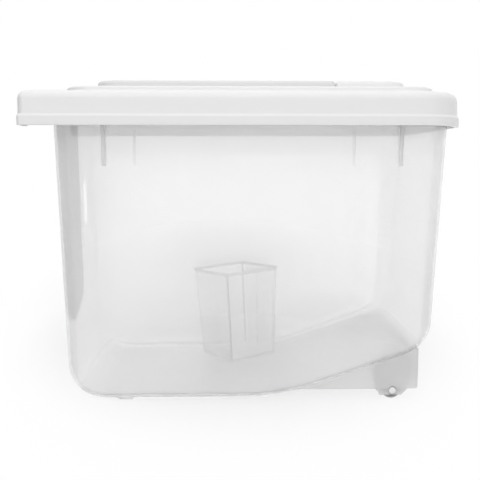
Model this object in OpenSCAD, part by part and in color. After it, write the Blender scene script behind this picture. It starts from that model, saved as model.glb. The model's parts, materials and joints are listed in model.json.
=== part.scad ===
// Rice storage bin on two rear wheels, with a lift-off lid, a flip door in the lid and a loose cup.
// X runs front (-) to rear (+), Y across, Z up. The origin is on the ground under the lid's centre.

/* [Overall] */
// Length over the lid
overall_l = 390; // [370:1:420]
// Width over the lid
overall_w = 235; // [215:1:260]
// Height from the ground to the top of the flip door
overall_h = 295; // [275:1:330]

/* [Container] */
// Wall and floor thickness
wall_t = 2.2; // [1.6:0.1:3]
// Clear height under the flat floor
floor_lift = 4.2; // [3:0.1:6]
// Flat of the rim in front of the front wall
front_flat = 12.9; // [8:0.1:18]
// Flat of the rim behind the rear wall
rear_flat = 0.3; // [0.2:0.1:5]
// Flat of the rim beside each side wall
side_flat = 2.2; // [1.5:0.1:6]
// Lean of the front wall, in degrees
front_draft = 1.92; // [0.5:0.02:3]
// Lean of the rear wall, in degrees
rear_draft = 2.87; // [0.5:0.01:3.5]
// Lean of the side walls, in degrees
side_draft = 2.26; // [0.5:0.02:3]
// Radius of the upright corners, seen from above
corner_r = 27; // [20:1:36]
// Radius where the front wall meets the floor
front_r = 32; // [20:1:40]
// Radius where the side walls meet the floor
side_r = 13; // [8:0.5:18]
// Radius where the rear wall meets the floor
rear_r = 20; // [12:1:28]

/* [Floor slope] */
// Distance from the lid's rear to the bend where the rear floor starts to climb
bend_rear = 162.5; // [150:0.5:185]
// Climb of the rear floor, in degrees
slope_deg = 18.7; // [12:0.1:20]
// Radius of the bend
slope_r = 220; // [80:5:260]

/* [Rim] */
// Thickness of the flange and its turned-down lip
rim_t = 1.9; // [1.4:0.1:2.4]
// Height of the turned-down lip
lip_h = 10.5; // [6:0.5:14]
// Radius of the rim's front corners
rim_front_r = 6; // [4:0.5:12]
// Radius of the rim's rear corners
rim_rear_r = 42; // [30:1:50]

/* [Ribs and feet] */
// Distance from the lid's front to the front pair of ribs
rib_front = 71.5; // [55:0.5:115]
// Distance from the lid's rear to the rear pair of ribs
rib_rear = 59.5; // [45:0.5:105]
// Thickness of each rib
rib_t = 3; // [2:0.1:4]
// Length of each rib below the rim's flange
rib_h = 58; // [40:1:80]
// How far the blunt lower end of a rib stands out of the wall
rib_toe = 3; // [2:0.1:4]
// Distance from the lid's front to the front edge of the feet
foot_front = 70; // [63:0.5:95]
// Distance from the lid's sides to the outer edge of each foot
foot_side = 37.5; // [33.5:0.5:57.5]
// Length of each foot along X
foot_l = 19.5; // [14:0.5:30]
// Width of each foot
foot_w = 30; // [15:1:40]
// Length of the slope on the front of each foot
foot_toe = 8; // [4:0.5:10]

/* [Wheel skirts] */
// Distance from the lid's sides to the outer face of each skirt
skirt_side = 30.5; // [27.5:0.5:42.5]
// Thickness of the skirts and of the pocket walls
skirt_t = 2; // [1.6:0.1:2.6]
// Distance from the lid's rear to the rear edge of the skirts
skirt_rear = 33.3; // [29:0.1:37]
// Height of the lower edge above the ground
skirt_z = 10.7; // [9.5:0.1:14]
// Radius of the skirt's lower rear corner
skirt_r = 3; // [1:0.5:6]
// Height of the lower edge of the pocket's cross walls
pocket_z = 14; // [13:0.5:17]

/* [Wheels] */
// Distance from the lid's rear to the wheel axis
wheel_rear = 56.8; // [54:0.1:61]
// Radius of each wheel
wheel_r = 9; // [8:0.1:10]
// Width of each wheel
wheel_w = 10; // [7:0.5:12]
// Rounding of the tread's edges
tread_r = 1.4; // [0.5:0.1:2]
// Width of the flat ring between the tread's edge and the recess
tread_flat = 1; // [0.5:0.1:1.5]
// Radius of the hub boss on each wheel
hub_r = 3.8; // [3.3:0.1:4.5]
// Depth of the ring-shaped recess in each wheel face
recess_d = 1.1; // [0.5:0.1:2]
// Radius of each axle
axle_r = 2; // [1.6:0.1:2.4]
// Radius of each axle's head
head_r = 3.3; // [2.8:0.1:3.8]
// Thickness of each axle's head
head_t = 2.7; // [1.5:0.1:3.5]
// Room round the head in the skirt's notch
head_room = 0.9; // [0.4:0.1:1.5]
// Radius of the peened end of each axle
peen_r = 2.5; // [2.2:0.1:3]
// Length of the peened end
peen_t = 0.8; // [0.5:0.1:1.2]
// Thickness of the caster housing
housing_t = 2; // [1.5:0.1:2.6]
// Length of the caster housing along X
housing_l = 27.6; // [24:0.1:30]
// Room above the wheel inside the housing
housing_room = 4; // [1:0.5:8]
// Height of the underside of the housing's ears
ear_z = 4; // [2:0.1:5]
// Taper of the ears towards the front
ear_front_in = 2.1; // [0:0.1:5]
// Taper of the ears towards the rear
ear_rear_in = 5.1; // [0:0.1:7]
// How far the snap barbs stand out of the housing
barb_d = 1.2; // [0.6:0.1:1.4]
// Width of each snap barb
barb_w = 7; // [4:0.5:8]
// Height of each snap barb
barb_h = 3.2; // [2:0.1:4]

/* [Lid] */
// Wall thickness of the lid
lid_t = 2.2; // [1.6:0.1:2.8]
// Depth of the seating rib under the lid
seat_h = 2.4; // [1.5:0.1:3]
// Width of the seating rib
seat_w = 2; // [1.2:0.1:2.6]
// Depth of the lid's skirt below its shoulder
skirt_h = 30; // [24:0.5:36]
// Height of the band round the lower edge
band_h = 7.3; // [5:0.1:10]
// Height of the slope above the band
band_slope = 2.9; // [0.5:0.1:4]
// How far the band stands out at the sides and the rear; at the front it is flush
band_out = 1.5; // [0.8:0.1:2]
// Lean of the skirt above the band, over its height
skirt_lean = 0.6; // [0:0.1:1.5]
// Radius of the shoulder
shoulder_r = 8; // [7:0.1:10]
// Radius of the lid's front corners above the band
lid_front_r = 6; // [4:0.5:20]
// Radius of the band's front corners
band_front_r = 3; // [2:0.5:6]
// Radius of the lid's rear corners
lid_rear_r = 45; // [34:1:54]
// Rise of the crown from the shoulder to the foot of the raised deck
crown_h = 1.4; // [0.5:0.1:2]
// Rise of the raised deck above the crown
deck_h = 4.1; // [3:0.1:5]
// Distance from the lid's front to the raised deck
deck_front = 33.5; // [28:0.5:36]
// Distance from the lid's rear to the raised deck
deck_rear = 22.6; // [18:0.2:30]
// Distance from the lid's sides to the raised deck
deck_side = 24.5; // [20:0.5:30]
// Radius of the deck's corners
deck_corner_r = 26; // [20:1:32]
// Radius of the deck's upper edge
deck_edge_r = 2; // [0.8:0.1:2.6]
// Distance from the lid's sides to the finger cut-out in the front skirt
grip_side = 20.5; // [19.5:0.5:57.5]
// Height of the finger cut-out
grip_h = 12; // [8:0.5:14]

/* [Flip door] */
// Distance from the lid's front to the flip door
door_front = 59.7; // [52:0.1:66]
// Distance from the lid's sides to the flip door
door_side = 39.5; // [37.5:0.5:47.5]
// Height of the flip door over the raised deck
door_h = 6.5; // [6:0.1:8]
// Thickness of the flip door
door_t = 2; // [1.6:0.1:2.2]
// Radius of the door's front corners and the rear housing's corners
door_corner_r = 20; // [14:0.5:24]
// Radius of the door's upper edge
door_edge_r = 3; // [1.5:0.1:3]
// Distance from the lid's rear to the hinge axis
hinge_rear = 116; // [105:0.5:135]
// Radius of the hinge barrel
barrel_r = 3; // [2.6:0.1:3]
// Depth of the barrel's top below the door's upper face
barrel_sink = 0.1; // [0.05:0.05:0.3]
// Radius of the hinge pins
pin_r = 1.6; // [1.2:0.1:1.7]
// Distance from the door's sides to the middle of each hinge lug
lug_side = 25; // [18:1:48]
// Width of each hinge lug
lug_w = 6; // [4:0.5:10]
// Wall of each hinge lug round its bore
lug_wall = 1.15; // [0.9:0.05:1.2]
// Width of the slot that each pin snaps in through
snap_w = 2.6; // [1.6:0.1:2.8]
// Distance from the hinge axis to the scoop opening
mouth_rear = 13; // [10:0.5:20]
// Margin from the door's edge to the scoop opening
mouth_margin = 8; // [7:0.5:14]
// Height of the coaming above the raised deck
coaming_h = 3; // [1:0.1:3.4]
// Thickness of the coaming
coaming_t = 2.2; // [1.4:0.1:3]
// Width of the finger tab on the door
tab_w = 46; // [30:1:70]
// Length of the finger tab
tab_l = 9.5; // [6:0.5:12]
// Rise of the finger tab to its tip
tab_rise = 2.2; // [0:0.1:3]
// Radius of the finger tab's corners
tab_r = 4.5; // [2:0.5:5]
// Length of the rear housing behind the door
rear_deck_l = 65.9; // [50:0.1:70]

/* [Measuring cup] */
// Width of the square base
cup_base = 61; // [45:1:64]
// Width of the square mouth
cup_top = 69; // [48:1:70]
// Height of the cup
cup_h = 98; // [70:1:120]
// Wall thickness of the cup
cup_t = 1.6; // [1.2:0.1:2.5]
// Radius of the cup's upright corners
cup_r = 6; // [4:0.5:10]
// Radius of the cup's lower edge
cup_foot_r = 3; // [2:0.5:3.5]
// How far the bead round the mouth stands out
cup_bead = 1; // [0.5:0.1:1.6]
// Turn of the cup about the upright, in degrees
cup_turn = 33; // [0:1:45]
// Distance from the floor's bend forward to the middle of the cup
cup_bend = 34.8; // [32.5:0.1:92.5]
// Distance from the foot of the side wall to the cup
cup_wall = 7.2; // [7:0.1:100]

/* [Fits] */
// Gap between a loose piece and what it rests on
rest_gap = 0.3; // [0.2:0.05:0.5]
// Gap all round between the rim and the lid's skirt
lid_gap = 0.3; // [0.2:0.05:1]
// Radial clearance of the axles and the hinge pins
run_gap = 0.08; // [0.03:0.01:0.1]
// Gap at each side of a wheel, a lug and the housing's walls
side_gap = 0.5; // [0.3:0.05:0.8]
// Gap between the hinge barrel and the rear housing
hinge_gap = 0.6; // [0.5:0.05:1]

/* [Hidden] */
$fn = 48;

// Steps round each upright corner, up each fillet and round each small edge
corner_steps = 8;
fillet_steps = 6;
edge_steps = 3;
// Overlap that makes two solids of one piece join, and how far a cut runs past a face
bond = 0.6;
past = 1;
// Least radius of a small corner and of the lid's inner front corners
small_r = 0.5;
lid_in_r = 1;

// Levels of the lid, from the top down
deck_z = overall_h - door_h;
crown_z = deck_z - deck_h;
shoulder_z = crown_z - crown_h;
skirt_bottom = shoulder_z - skirt_h;
band_z = skirt_bottom + band_h;
ceiling_z = shoulder_z - lid_t;

// Half sizes of the lid, its skirt above the band, and the rim inside it
half_l = overall_l / 2;
half_w = overall_w / 2;
skirt_in = band_out + skirt_lean;
rim_in = skirt_in + lid_t + lid_gap;
rim_l = half_l - rim_in;
rim_w = half_w - rim_in;
seat_z = ceiling_z - seat_h;
rim_z = seat_z - rest_gap;
flange_z = rim_z - rim_t;
// The rim's upper edge runs level with the curve inside the lid's shoulder; its lip follows inside
shoulder_in_r = shoulder_r - lid_t;
rim_edge_r = shoulder_in_r - seat_h - rest_gap;
lip_in_r = max(rim_edge_r - rim_t, small_r);
rim_curve = max(rim_edge_r, rim_t + lip_in_r);

// Container walls at ground level, as if they ran down to it, and the bend in its floor
front_lean = tan(front_draft);
rear_lean = tan(rear_draft);
side_lean = tan(side_draft);
base_front = -rim_l + rim_curve + front_flat + rim_z * front_lean;
base_rear = rim_l - rim_curve - rear_flat - rim_z * rear_lean;
base_w = rim_w - rim_curve - side_flat - rim_z * side_lean;
slope_x = half_l - bend_rear;

// Ribs and feet
front_rib_x = -half_l + rib_front;
rear_rib_x = half_l - rib_rear;
foot_x = -half_l + foot_front;
foot_y = half_w - foot_side;

// Finger cut-out, flip door, hinge and the housing behind it
grip_y = half_w - grip_side;
door_x = -half_l + door_front;
door_y = half_w - door_side;
hinge_x = half_l - hinge_rear;
lug_y = door_y - lug_side;
door_z = deck_z + rest_gap;
hinge_z = overall_h - barrel_r - barrel_sink;
lug_bore = pin_r + run_gap;
lug_r = lug_bore + lug_wall;
rear_deck_x = hinge_x + barrel_r + hinge_gap;
rear_deck_end = rear_deck_x + rear_deck_l;

// Wheel skirts and casters
skirt_y = half_w - skirt_side;
skirt_rear_x = half_l - skirt_rear;
wheel_x = half_l - wheel_rear;
wheel_y = skirt_y - skirt_t - rest_gap - housing_t - side_gap - wheel_w / 2;
cheek_in = wheel_w / 2 + side_gap;
cheek_out = cheek_in + housing_t;
housing_top = 2 * wheel_r + housing_room + housing_t;
pocket_out = cheek_out + rest_gap;
pocket_l = housing_l / 2 + rest_gap;
barb_z = housing_top - housing_t - barb_h;

// ---------- Outlines and stacks ----------

// Half of a rounded outline from rear to front, each point with its outward direction
function half_plan(xa, xb, yh, ra, rb, stations = []) = concat(
    [for (i = [0:corner_steps])
        let (a = 90 * i / corner_steps)
        [xb - rb + rb * cos(a), yh - rb + rb * sin(a), cos(a), sin(a)]],
    [for (x = stations) [x, yh, 0, 1]],
    [for (i = [0:corner_steps])
        let (a = 90 + 90 * i / corner_steps)
        [xa + ra + ra * cos(a), yh - ra + ra * sin(a), cos(a), sin(a)]]);

// The half points and their mirror images, as one closed ring
function whole_ring(half) = concat(half, [for (i = [len(half) - 1:-1:0])
    [half[i].x, -half[i].y, half[i].z]]);

// A level ring of the rounded outline at height z
function level_ring(z, xa, xb, yh, ra, rb, stations = []) =
    whole_ring([for (p = half_plan(xa, xb, yh, ra, rb, stations)) [p.x, p.y, z]]);

// Closed solid through a stack of rings, its two ends closed by strips across Y
module ring_stack(rings) {
    n = len(rings[0]);
    last = (len(rings) - 1) * n;
    sides = [for (j = [0:len(rings) - 2], i = [0:n - 1])
        let (a = j * n + i, b = j * n + (i + 1) % n)
        each [[a, a + n, b + n], [a, b + n, b]]];
    bottom = [for (i = [0:n / 2 - 2]) [i, i + 1, n - 2 - i, n - 1 - i]];
    top = [for (i = [0:n / 2 - 2]) [last + n - 1 - i, last + n - 2 - i, last + i + 1, last + i]];
    polyhedron(points = [for (r = rings) each r], faces = concat(sides, bottom, top));
}

// The children and their mirror image on the other side
module each_side() {
    children();
    mirror([0, 1, 0]) children();
}

// ---------- Container ----------

// Height of the floor's underside at x
bend_start = slope_x - slope_r * tan(slope_deg / 2);
bend_end = bend_start + slope_r * sin(slope_deg);
function floor_z(x) = floor_lift + (
    x < bend_start ? 0 :
    x < bend_end ? slope_r - sqrt(slope_r * slope_r - (x - bend_start) * (x - bend_start)) :
    slope_r * (1 - cos(slope_deg)) + (x - bend_end) * tan(slope_deg));

bend_steps = 6;
bend_stations = [for (i = [bend_steps:-1:0]) bend_start + (bend_end - bend_start) * i / bend_steps];

// A wall point moved out by the wall's lean over height z
function leant(p, z) = [
    p.x + p[2] * z * (p[2] < 0 ? front_lean : rear_lean),
    p.y + p[3] * z * side_lean, z];

// Body ring at angle a up the lower fillet, inset by t: 0 is the outside, wall_t the inside
function body_ring(a, t) =
    let (s = 1 - sin(a), rs = side_r - t, rf = front_r - t, rr = rear_r - t, rc = corner_r - t - rs * s)
    whole_ring([for (p = half_plan(base_front + t + rf * s, base_rear - t - rr * s,
                                   base_w - t - rs * s, rc, rc, bend_stations))
        let (r = rs + ((p[2] < 0 ? rf : rr) - rs) * p[2] * p[2])
        leant(p, floor_z(p.x) + t + r * (1 - cos(a)))]);

// Body ring of the straight wall at height z
function wall_ring(z, t) = whole_ring([for (p = half_plan(base_front + t, base_rear - t,
    base_w - t, corner_r - t, corner_r - t, bend_stations)) leant(p, z)]);

// Ring of the rim's lip at height z, inset by t
function rim_ring(z, t) = level_ring(z, -rim_l + t, rim_l - t, rim_w - t,
    rim_front_r - t, rim_rear_r - t, bend_stations);

module container_shell() {
    ring_stack(concat(
        [for (i = [0:fillet_steps]) body_ring(90 * i / fillet_steps, 0)],
        [wall_ring(flange_z, 0)],
        [for (i = [edge_steps:-1:0])
            let (a = 90 * i / edge_steps)
            rim_ring(flange_z - lip_in_r * (1 - sin(a)), rim_t + lip_in_r * (1 - cos(a)))],
        [rim_ring(rim_z - lip_h, rim_t),
         rim_ring(rim_z - lip_h, 0)],
        [for (i = [0:edge_steps])
            let (a = 90 * i / edge_steps)
            rim_ring(rim_z - rim_edge_r * (1 - sin(a)), rim_edge_r * (1 - cos(a)))],
        [wall_ring(rim_z, wall_t)],
        [for (i = [fillet_steps:-1:0]) body_ring(90 * i / fillet_steps, wall_t)]));
}

// Extrudes a profile drawn in X and Z by w across Y, its right-hand face at y
module across(y, w) {
    translate([0, y + w, 0]) rotate([90, 0, 0]) linear_extrude(w) children();
}

// Upright stiffening rib under the flange, from the wall out to the lip
module rib(x) {
    low = flange_z - rib_h;
    mid = skirt_bottom;
    root = wall_t / 2;
    wall_low = base_w + low * side_lean;
    wall_top = base_w + flange_z * side_lean;
    translate([x - rib_t / 2, 0, 0]) rotate([90, 0, 90]) linear_extrude(rib_t) polygon([
        [wall_low - root, low], [wall_low + rib_toe, low], [rim_w - rim_t / 2, mid],
        [rim_w - rim_t / 2, flange_z + root], [wall_top - root, flange_z + root]]);
}

// Front foot: a low pad with a sloped front
module foot() {
    across(foot_y - foot_w, foot_w) polygon([
        [foot_x, floor_lift + bond], [foot_x, floor_lift], [foot_x + foot_toe, 0],
        [foot_x + foot_l, 0], [foot_x + foot_l, floor_lift + bond]]);
}

// Where the rising floor first clears the skirt's lower edge
skirt_rise = skirt_z - floor_lift;
bend_rise = slope_r * (1 - cos(slope_deg));
skirt_front_x = skirt_rise < bend_rise ?
    bend_start + sqrt(skirt_rise * (2 * slope_r - skirt_rise)) :
    bend_end + (skirt_rise - bend_rise) / tan(slope_deg);
// Middle of the floor's thickness at x, where the skirts and pocket walls end
function in_floor(x) = floor_z(x) + wall_t / 2;

module skirt_profile() {
    polygon(concat(
        [[skirt_front_x, skirt_z]],
        [for (i = [0:fillet_steps])
            let (a = -90 + 90 * i / fillet_steps)
            [skirt_rear_x - skirt_r + skirt_r * cos(a), skirt_z + skirt_r + skirt_r * sin(a)]],
        [for (i = [0:bend_steps])
            let (x = skirt_rear_x - (skirt_rear_x - skirt_front_x) * i / bend_steps)
            [x, in_floor(x)]]));
}

// Wheel skirt with an open notch round the axle's head
module skirt() {
    difference() {
        across(skirt_y - skirt_t, skirt_t) skirt_profile();
        translate([wheel_x, skirt_y + past, wheel_r]) rotate([90, 0, 0])
            cylinder(r = head_r + head_room, h = skirt_t + 2 * past);
    }
}

// Walls that hold the caster housing: two across, one inboard, and the web it bears on
module pocket() {
    inner_y = wheel_y - pocket_out - skirt_t;
    for (end = [-1, 1]) {
        x = wheel_x + end * (pocket_l + skirt_t / 2);
        difference() {
            translate([x - skirt_t / 2, inner_y, pocket_z])
                cube([skirt_t, skirt_y - inner_y - bond, in_floor(x) - pocket_z]);
            // window for the housing's snap barb
            translate([x - skirt_t, wheel_y - barb_w / 2 - rest_gap, barb_z - rest_gap])
                cube([2 * skirt_t, barb_w + 2 * rest_gap, barb_h + 2 * rest_gap]);
        }
    }
    across(inner_y, skirt_t) pocket_profile(pocket_z);
    across(wheel_y - skirt_t / 2, skirt_t) pocket_profile(housing_top + rest_gap);
}

// Side view of a wall between the pocket's cross walls, from height z up into the floor
module pocket_profile(z) {
    a = wheel_x - pocket_l - skirt_t / 2;
    b = wheel_x + pocket_l + skirt_t / 2;
    polygon([[a, z], [b, z], [b, in_floor(b)], [a, in_floor(a)]]);
}

// Panel across the rear, between the two skirts
module rear_panel() {
    translate([skirt_rear_x - skirt_t, -skirt_y + bond, skirt_z + skirt_r])
        cube([skirt_t, 2 * (skirt_y - bond), in_floor(skirt_rear_x) - skirt_z - skirt_r]);
}

module container() {
    color([0.93, 0.94, 0.94, 0.6]) union() {
        container_shell();
        each_side() {
            rib(front_rib_x);
            rib(rear_rib_x);
            foot();
            skirt();
            pocket();
        }
        rear_panel();
    }
}

// ---------- Casters ----------

// Cheek of the housing: square above, tapered down to the ear
module cheek_profile() {
    half = housing_l / 2;
    polygon([[-half, housing_top], [-half, wheel_r], [-half + ear_front_in, ear_z],
             [half - ear_rear_in, ear_z], [half, wheel_r], [half, housing_top]]);
}

// Inverted channel over the wheel, with a bore for the axle and a snap barb at each end
module caster_housing(side) {
    color([0.62, 0.63, 0.64]) translate([wheel_x, side * wheel_y, 0]) {
        difference() {
            across(-cheek_out, 2 * cheek_out) cheek_profile();
            translate([-housing_l, -cheek_in, -past])
                cube([2 * housing_l, 2 * cheek_in, housing_top - housing_t + past]);
            translate([0, cheek_out + past, wheel_r]) rotate([90, 0, 0])
                cylinder(r = axle_r + run_gap, h = 2 * (cheek_out + past));
        }
        for (end = [-1, 1]) barb(end);
    }
}

// Tongue at one end of the housing, with the barb that snaps into the pocket's window
module barb(end) {
    face = end * housing_l / 2;
    back = face - end * housing_t;
    across(-barb_w / 2, barb_w) polygon([
        [back, barb_z], [face, barb_z], [face + end * barb_d, barb_z + barb_h / 2],
        [face, barb_z + barb_h], [face, housing_top], [back, housing_top]]);
}

// Axle with its head against the outer cheek and its peened end against the inner one
module axle(side) {
    color([0.78, 0.78, 0.79]) translate([wheel_x, side * wheel_y, wheel_r]) rotate([-side * 90, 0, 0])
        rotate_extrude() polygon([
            [0, -cheek_out - peen_t], [peen_r, -cheek_out - peen_t], [peen_r, -cheek_out],
            [axle_r, -cheek_out], [axle_r, cheek_out], [head_r, cheek_out],
            [head_r, cheek_out + head_t / 2], [head_r / 2, cheek_out + head_t],
            [0, cheek_out + head_t]]);
}

// Wheel with rounded tread edges, a hub boss and a ring recess in each face
module wheel(side) {
    half = wheel_w / 2;
    rim_in_r = wheel_r - tread_r - tread_flat;
    round = [for (i = [0:fillet_steps])
        let (a = 90 * i / fillet_steps)
        [wheel_r - tread_r + tread_r * cos(a), half - tread_r + tread_r * sin(a)]];
    face = concat(round, [[rim_in_r, half], [rim_in_r, half - recess_d], [hub_r, half - recess_d],
                          [hub_r, half], [axle_r + run_gap, half]]);
    back = [for (i = [len(face) - 1:-1:0]) [face[i].x, -face[i].y]];
    color([0.36, 0.37, 0.38]) translate([wheel_x, side * wheel_y, wheel_r]) rotate([90, 0, 0])
        rotate_extrude() polygon(concat(face, back));
}

// ---------- Lid ----------

// Ring of the lid inset by t from its overall outline, with front corners of radius r
function lid_ring(z, t, r = lid_in_r) = level_ring(z, -half_l + t, half_l - t, half_w - t,
    r, lid_rear_r - t);

// Outer ring above the band: inset by t at the sides and the rear, flush at the front up to the shoulder
function upper_ring(z, t) =
    let (front = max(t - skirt_in, 0))
    level_ring(z, -half_l + front, half_l - t, half_w - t,
        max(lid_front_r - front, lid_in_r), lid_rear_r - t);

// Ring of the raised deck, inset by t from its foot
function deck_ring(z, t) = level_ring(z, -half_l + deck_front + t, half_l - deck_rear - t,
    half_w - deck_side - t, deck_corner_r - t, deck_corner_r - t);

module lid_shell() {
    skirt_face = skirt_in + lid_t;
    seat_in = skirt_face + shoulder_in_r;
    seat_out = seat_in - seat_w;
    seat_a = acos(seat_w / shoulder_in_r);
    ring_stack(concat(
        [deck_ring(deck_z - lid_t, lid_t),
         deck_ring(crown_z - lid_t, lid_t),
         lid_ring(ceiling_z, seat_in),
         lid_ring(seat_z, seat_in),
         lid_ring(seat_z, seat_out)],
        [for (i = [fillet_steps:-1:0])
            let (a = seat_a * i / fillet_steps)
            lid_ring(ceiling_z - shoulder_in_r * (1 - sin(a)), skirt_face + shoulder_in_r * (1 - cos(a)))],
        [lid_ring(skirt_bottom, skirt_face),
         lid_ring(skirt_bottom, 0, band_front_r),
         lid_ring(band_z, 0, band_front_r),
         upper_ring(band_z + band_slope, band_out)],
        [for (i = [0:fillet_steps])
            let (a = 90 * i / fillet_steps)
            upper_ring(shoulder_z - shoulder_r * (1 - sin(a)), skirt_in + shoulder_r * (1 - cos(a)))],
        [deck_ring(crown_z, 0)],
        [for (i = [0:fillet_steps])
            let (a = 90 * i / fillet_steps)
            deck_ring(deck_z - deck_edge_r * (1 - sin(a)), deck_edge_r * (1 - cos(a)))]));
}

// Ring of the housing behind the flip door, inset by t
function rear_deck_ring(z, t) = level_ring(z, rear_deck_x + t, rear_deck_end - t, door_y - t,
    door_edge_r + small_r - min(t, door_edge_r), door_corner_r - t);

// Raised housing behind the flip door from level z; t is 0 for its outside, lid_t for its hollow
module rear_deck(z, t) {
    r = door_edge_r - t / 2;
    ring_stack(concat(
        [rear_deck_ring(z, t)],
        [for (i = [0:fillet_steps])
            let (a = 90 * i / fillet_steps)
            rear_deck_ring(overall_h - t - r * (1 - sin(a)), t + r * (1 - cos(a)))]));
}

// Scoop opening, grown by t
module mouth_outline(t) {
    a = door_x + mouth_margin - t;
    b = hinge_x - mouth_rear + t;
    y = door_y - mouth_margin + t;
    r = door_corner_r - mouth_margin + t;
    hull() for (x = [a + r, b - r], side = [-1, 1]) translate([x, side * (y - r)]) circle(r);
}

// Lug that a hinge pin snaps into
module hinge_lug() {
    translate([hinge_x, lug_y + lug_w / 2, 0]) rotate([90, 0, 0]) linear_extrude(lug_w) union() {
        translate([0, hinge_z]) circle(lug_r);
        translate([-lug_r, deck_z - bond]) square([2 * lug_r, hinge_z - deck_z + bond]);
    }
}

module lug_cut() {
    y = lug_y + lug_w / 2 + past;
    translate([hinge_x, y, hinge_z]) rotate([90, 0, 0]) cylinder(r = lug_bore, h = lug_w + 2 * past);
    translate([hinge_x - snap_w / 2, y - lug_w - 2 * past, hinge_z])
        cube([snap_w, lug_w + 2 * past, lug_r + past]);
}

// Arched finger cut-out in the front skirt
module grip_cut() {
    translate([-half_l - past, 0, skirt_bottom]) rotate([90, 0, 90])
        linear_extrude(skirt_in + lid_t + 2 * past)
            hull() for (side = [-1, 1]) translate([side * (grip_y - grip_h), 0]) circle(grip_h);
}

module lid() {
    color([0.97, 0.97, 0.97]) difference() {
        union() {
            lid_shell();
            rear_deck(deck_z - bond, 0);
            translate([0, 0, deck_z - bond]) linear_extrude(coaming_h + bond) mouth_outline(coaming_t);
            each_side() hinge_lug();
        }
        rear_deck(ceiling_z - past, lid_t);
        translate([0, 0, ceiling_z]) linear_extrude(overall_h - ceiling_z) mouth_outline(0);
        each_side() lug_cut();
        grip_cut();
    }
}

// ---------- Flip door ----------

// Ring of the door inset by t, its rear end kept at x
function door_ring(z, t, x) = level_ring(z, door_x + t, x, door_y - t, door_corner_r - t, small_r);

module door_shell() {
    cavity_end = hinge_x - lug_r - side_gap - door_t;
    ring_stack(concat(
        [door_ring(overall_h - door_t, door_t, cavity_end),
         door_ring(door_z, door_t, cavity_end),
         door_ring(door_z, 0, hinge_x)],
        [for (i = [0:fillet_steps])
            let (a = 90 * i / fillet_steps)
            door_ring(overall_h - door_edge_r * (1 - sin(a)), door_edge_r * (1 - cos(a)), hinge_x)]));
}

// Rod along the hinge axis from y1 to y2
module hinge_rod(r, y1, y2) {
    translate([hinge_x, y2, hinge_z]) rotate([90, 0, 0]) cylinder(r = r, h = y2 - y1);
}

// Room for a hinge lug in the door's rear edge
module lug_notch() {
    reach = lug_r + side_gap;
    translate([hinge_x - reach, lug_y - lug_w / 2 - side_gap, door_z - past])
        cube([2 * reach, lug_w + 2 * side_gap, door_h + 2 * past]);
}

// Tab under the front edge, rising to a rounded tip
module finger_tab() {
    root_r = door_t;
    hull() for (side = [-1, 1]) {
        translate([door_x + root_r, side * (tab_w / 2 - root_r), door_z])
            cylinder(r = root_r, h = door_t, $fn = 32);
        translate([door_x - tab_l + tab_r, side * (tab_w / 2 - tab_r), door_z + tab_rise])
            cylinder(r = tab_r, h = door_t, $fn = 32);
    }
}

module flip_lid() {
    barrel_end = door_y - door_edge_r;
    color([0.95, 0.95, 0.96]) union() {
        difference() {
            union() {
                door_shell();
                hinge_rod(barrel_r, -barrel_end, barrel_end);
            }
            each_side() lug_notch();
        }
        hinge_rod(pin_r, -barrel_end + bond, barrel_end - bond);
        finger_tab();
    }
}

// ---------- Measuring cup ----------

// Ring of the cup at height z up its axis, out from the leaning wall by t
function cup_ring(z, t) =
    let (half = cup_base / 2 + (cup_top - cup_base) / 2 * z / cup_h + t, r = cup_r + t)
    level_ring(z, -half, half, half, r, r);

module cup_shell() {
    ring_stack(concat(
        [for (i = [0:fillet_steps])
            let (a = 90 * i / fillet_steps)
            cup_ring(cup_foot_r * (1 - cos(a)), -cup_foot_r * (1 - sin(a)))],
        [cup_ring(cup_h - 2 * cup_t, 0),
         cup_ring(cup_h - 2 * cup_t, cup_bead),
         cup_ring(cup_h - cup_t / 2, cup_bead),
         cup_ring(cup_h, cup_bead / 2),
         cup_ring(cup_h, -cup_t)],
        [for (i = [fillet_steps:-1:0])
            let (a = 90 * i / fillet_steps, r = cup_foot_r)
            cup_ring(cup_t + r * (1 - cos(a)), -cup_t - r * (1 - sin(a)))]));
}

// The cup stands beside the right-hand wall
cup_x = slope_x - cup_bend;
cup_span = (cup_base / 2 - cup_r) * (cos(cup_turn) + sin(cup_turn)) + cup_r;
cup_y = base_w - cup_wall - cup_span;
// It stands askew: its front corner on the flat floor and its rear corner on the slope
cup_reach = (cup_base / 2 - cup_r) * sqrt(2) * cos(45 - cup_turn) + cup_r - cup_foot_r;
cup_front_z = floor_z(cup_x - cup_reach);
cup_rear_z = floor_z(cup_x + cup_reach);
cup_tilt = atan((cup_rear_z - cup_front_z) / (2 * cup_reach));

module measuring_cup() {
    color([0.9, 0.92, 0.93, 0.5])
        translate([cup_x, cup_y, (cup_front_z + cup_rear_z) / 2 + wall_t + rest_gap])
        rotate([0, -cup_tilt, 0]) rotate([0, 0, cup_turn]) cup_shell();
}

container();
caster_housing(-1);  // caster_housing_left
caster_housing(1);  // caster_housing_right
axle(-1);  // axle_left
axle(1);  // axle_right
wheel(-1);  // wheel_left
wheel(1);  // wheel_right
lid();
flip_lid();
measuring_cup();
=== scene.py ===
"""Rice storage bin: the dressed model, its studio and its camera.

The bin is a milky container on two small rear wheels, with a white lift-off lid, a flip door
hinged in the lid and a loose square cup inside. Every length is in metres. X runs from the front
(-) to the rear (+), Y from the left-hand side (-) to the right (+), and Z up from the ground.
"""

import json
import logging
import math
from dataclasses import dataclass
from enum import Enum

import bmesh
import bpy
from mathutils import Matrix, Vector


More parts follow.
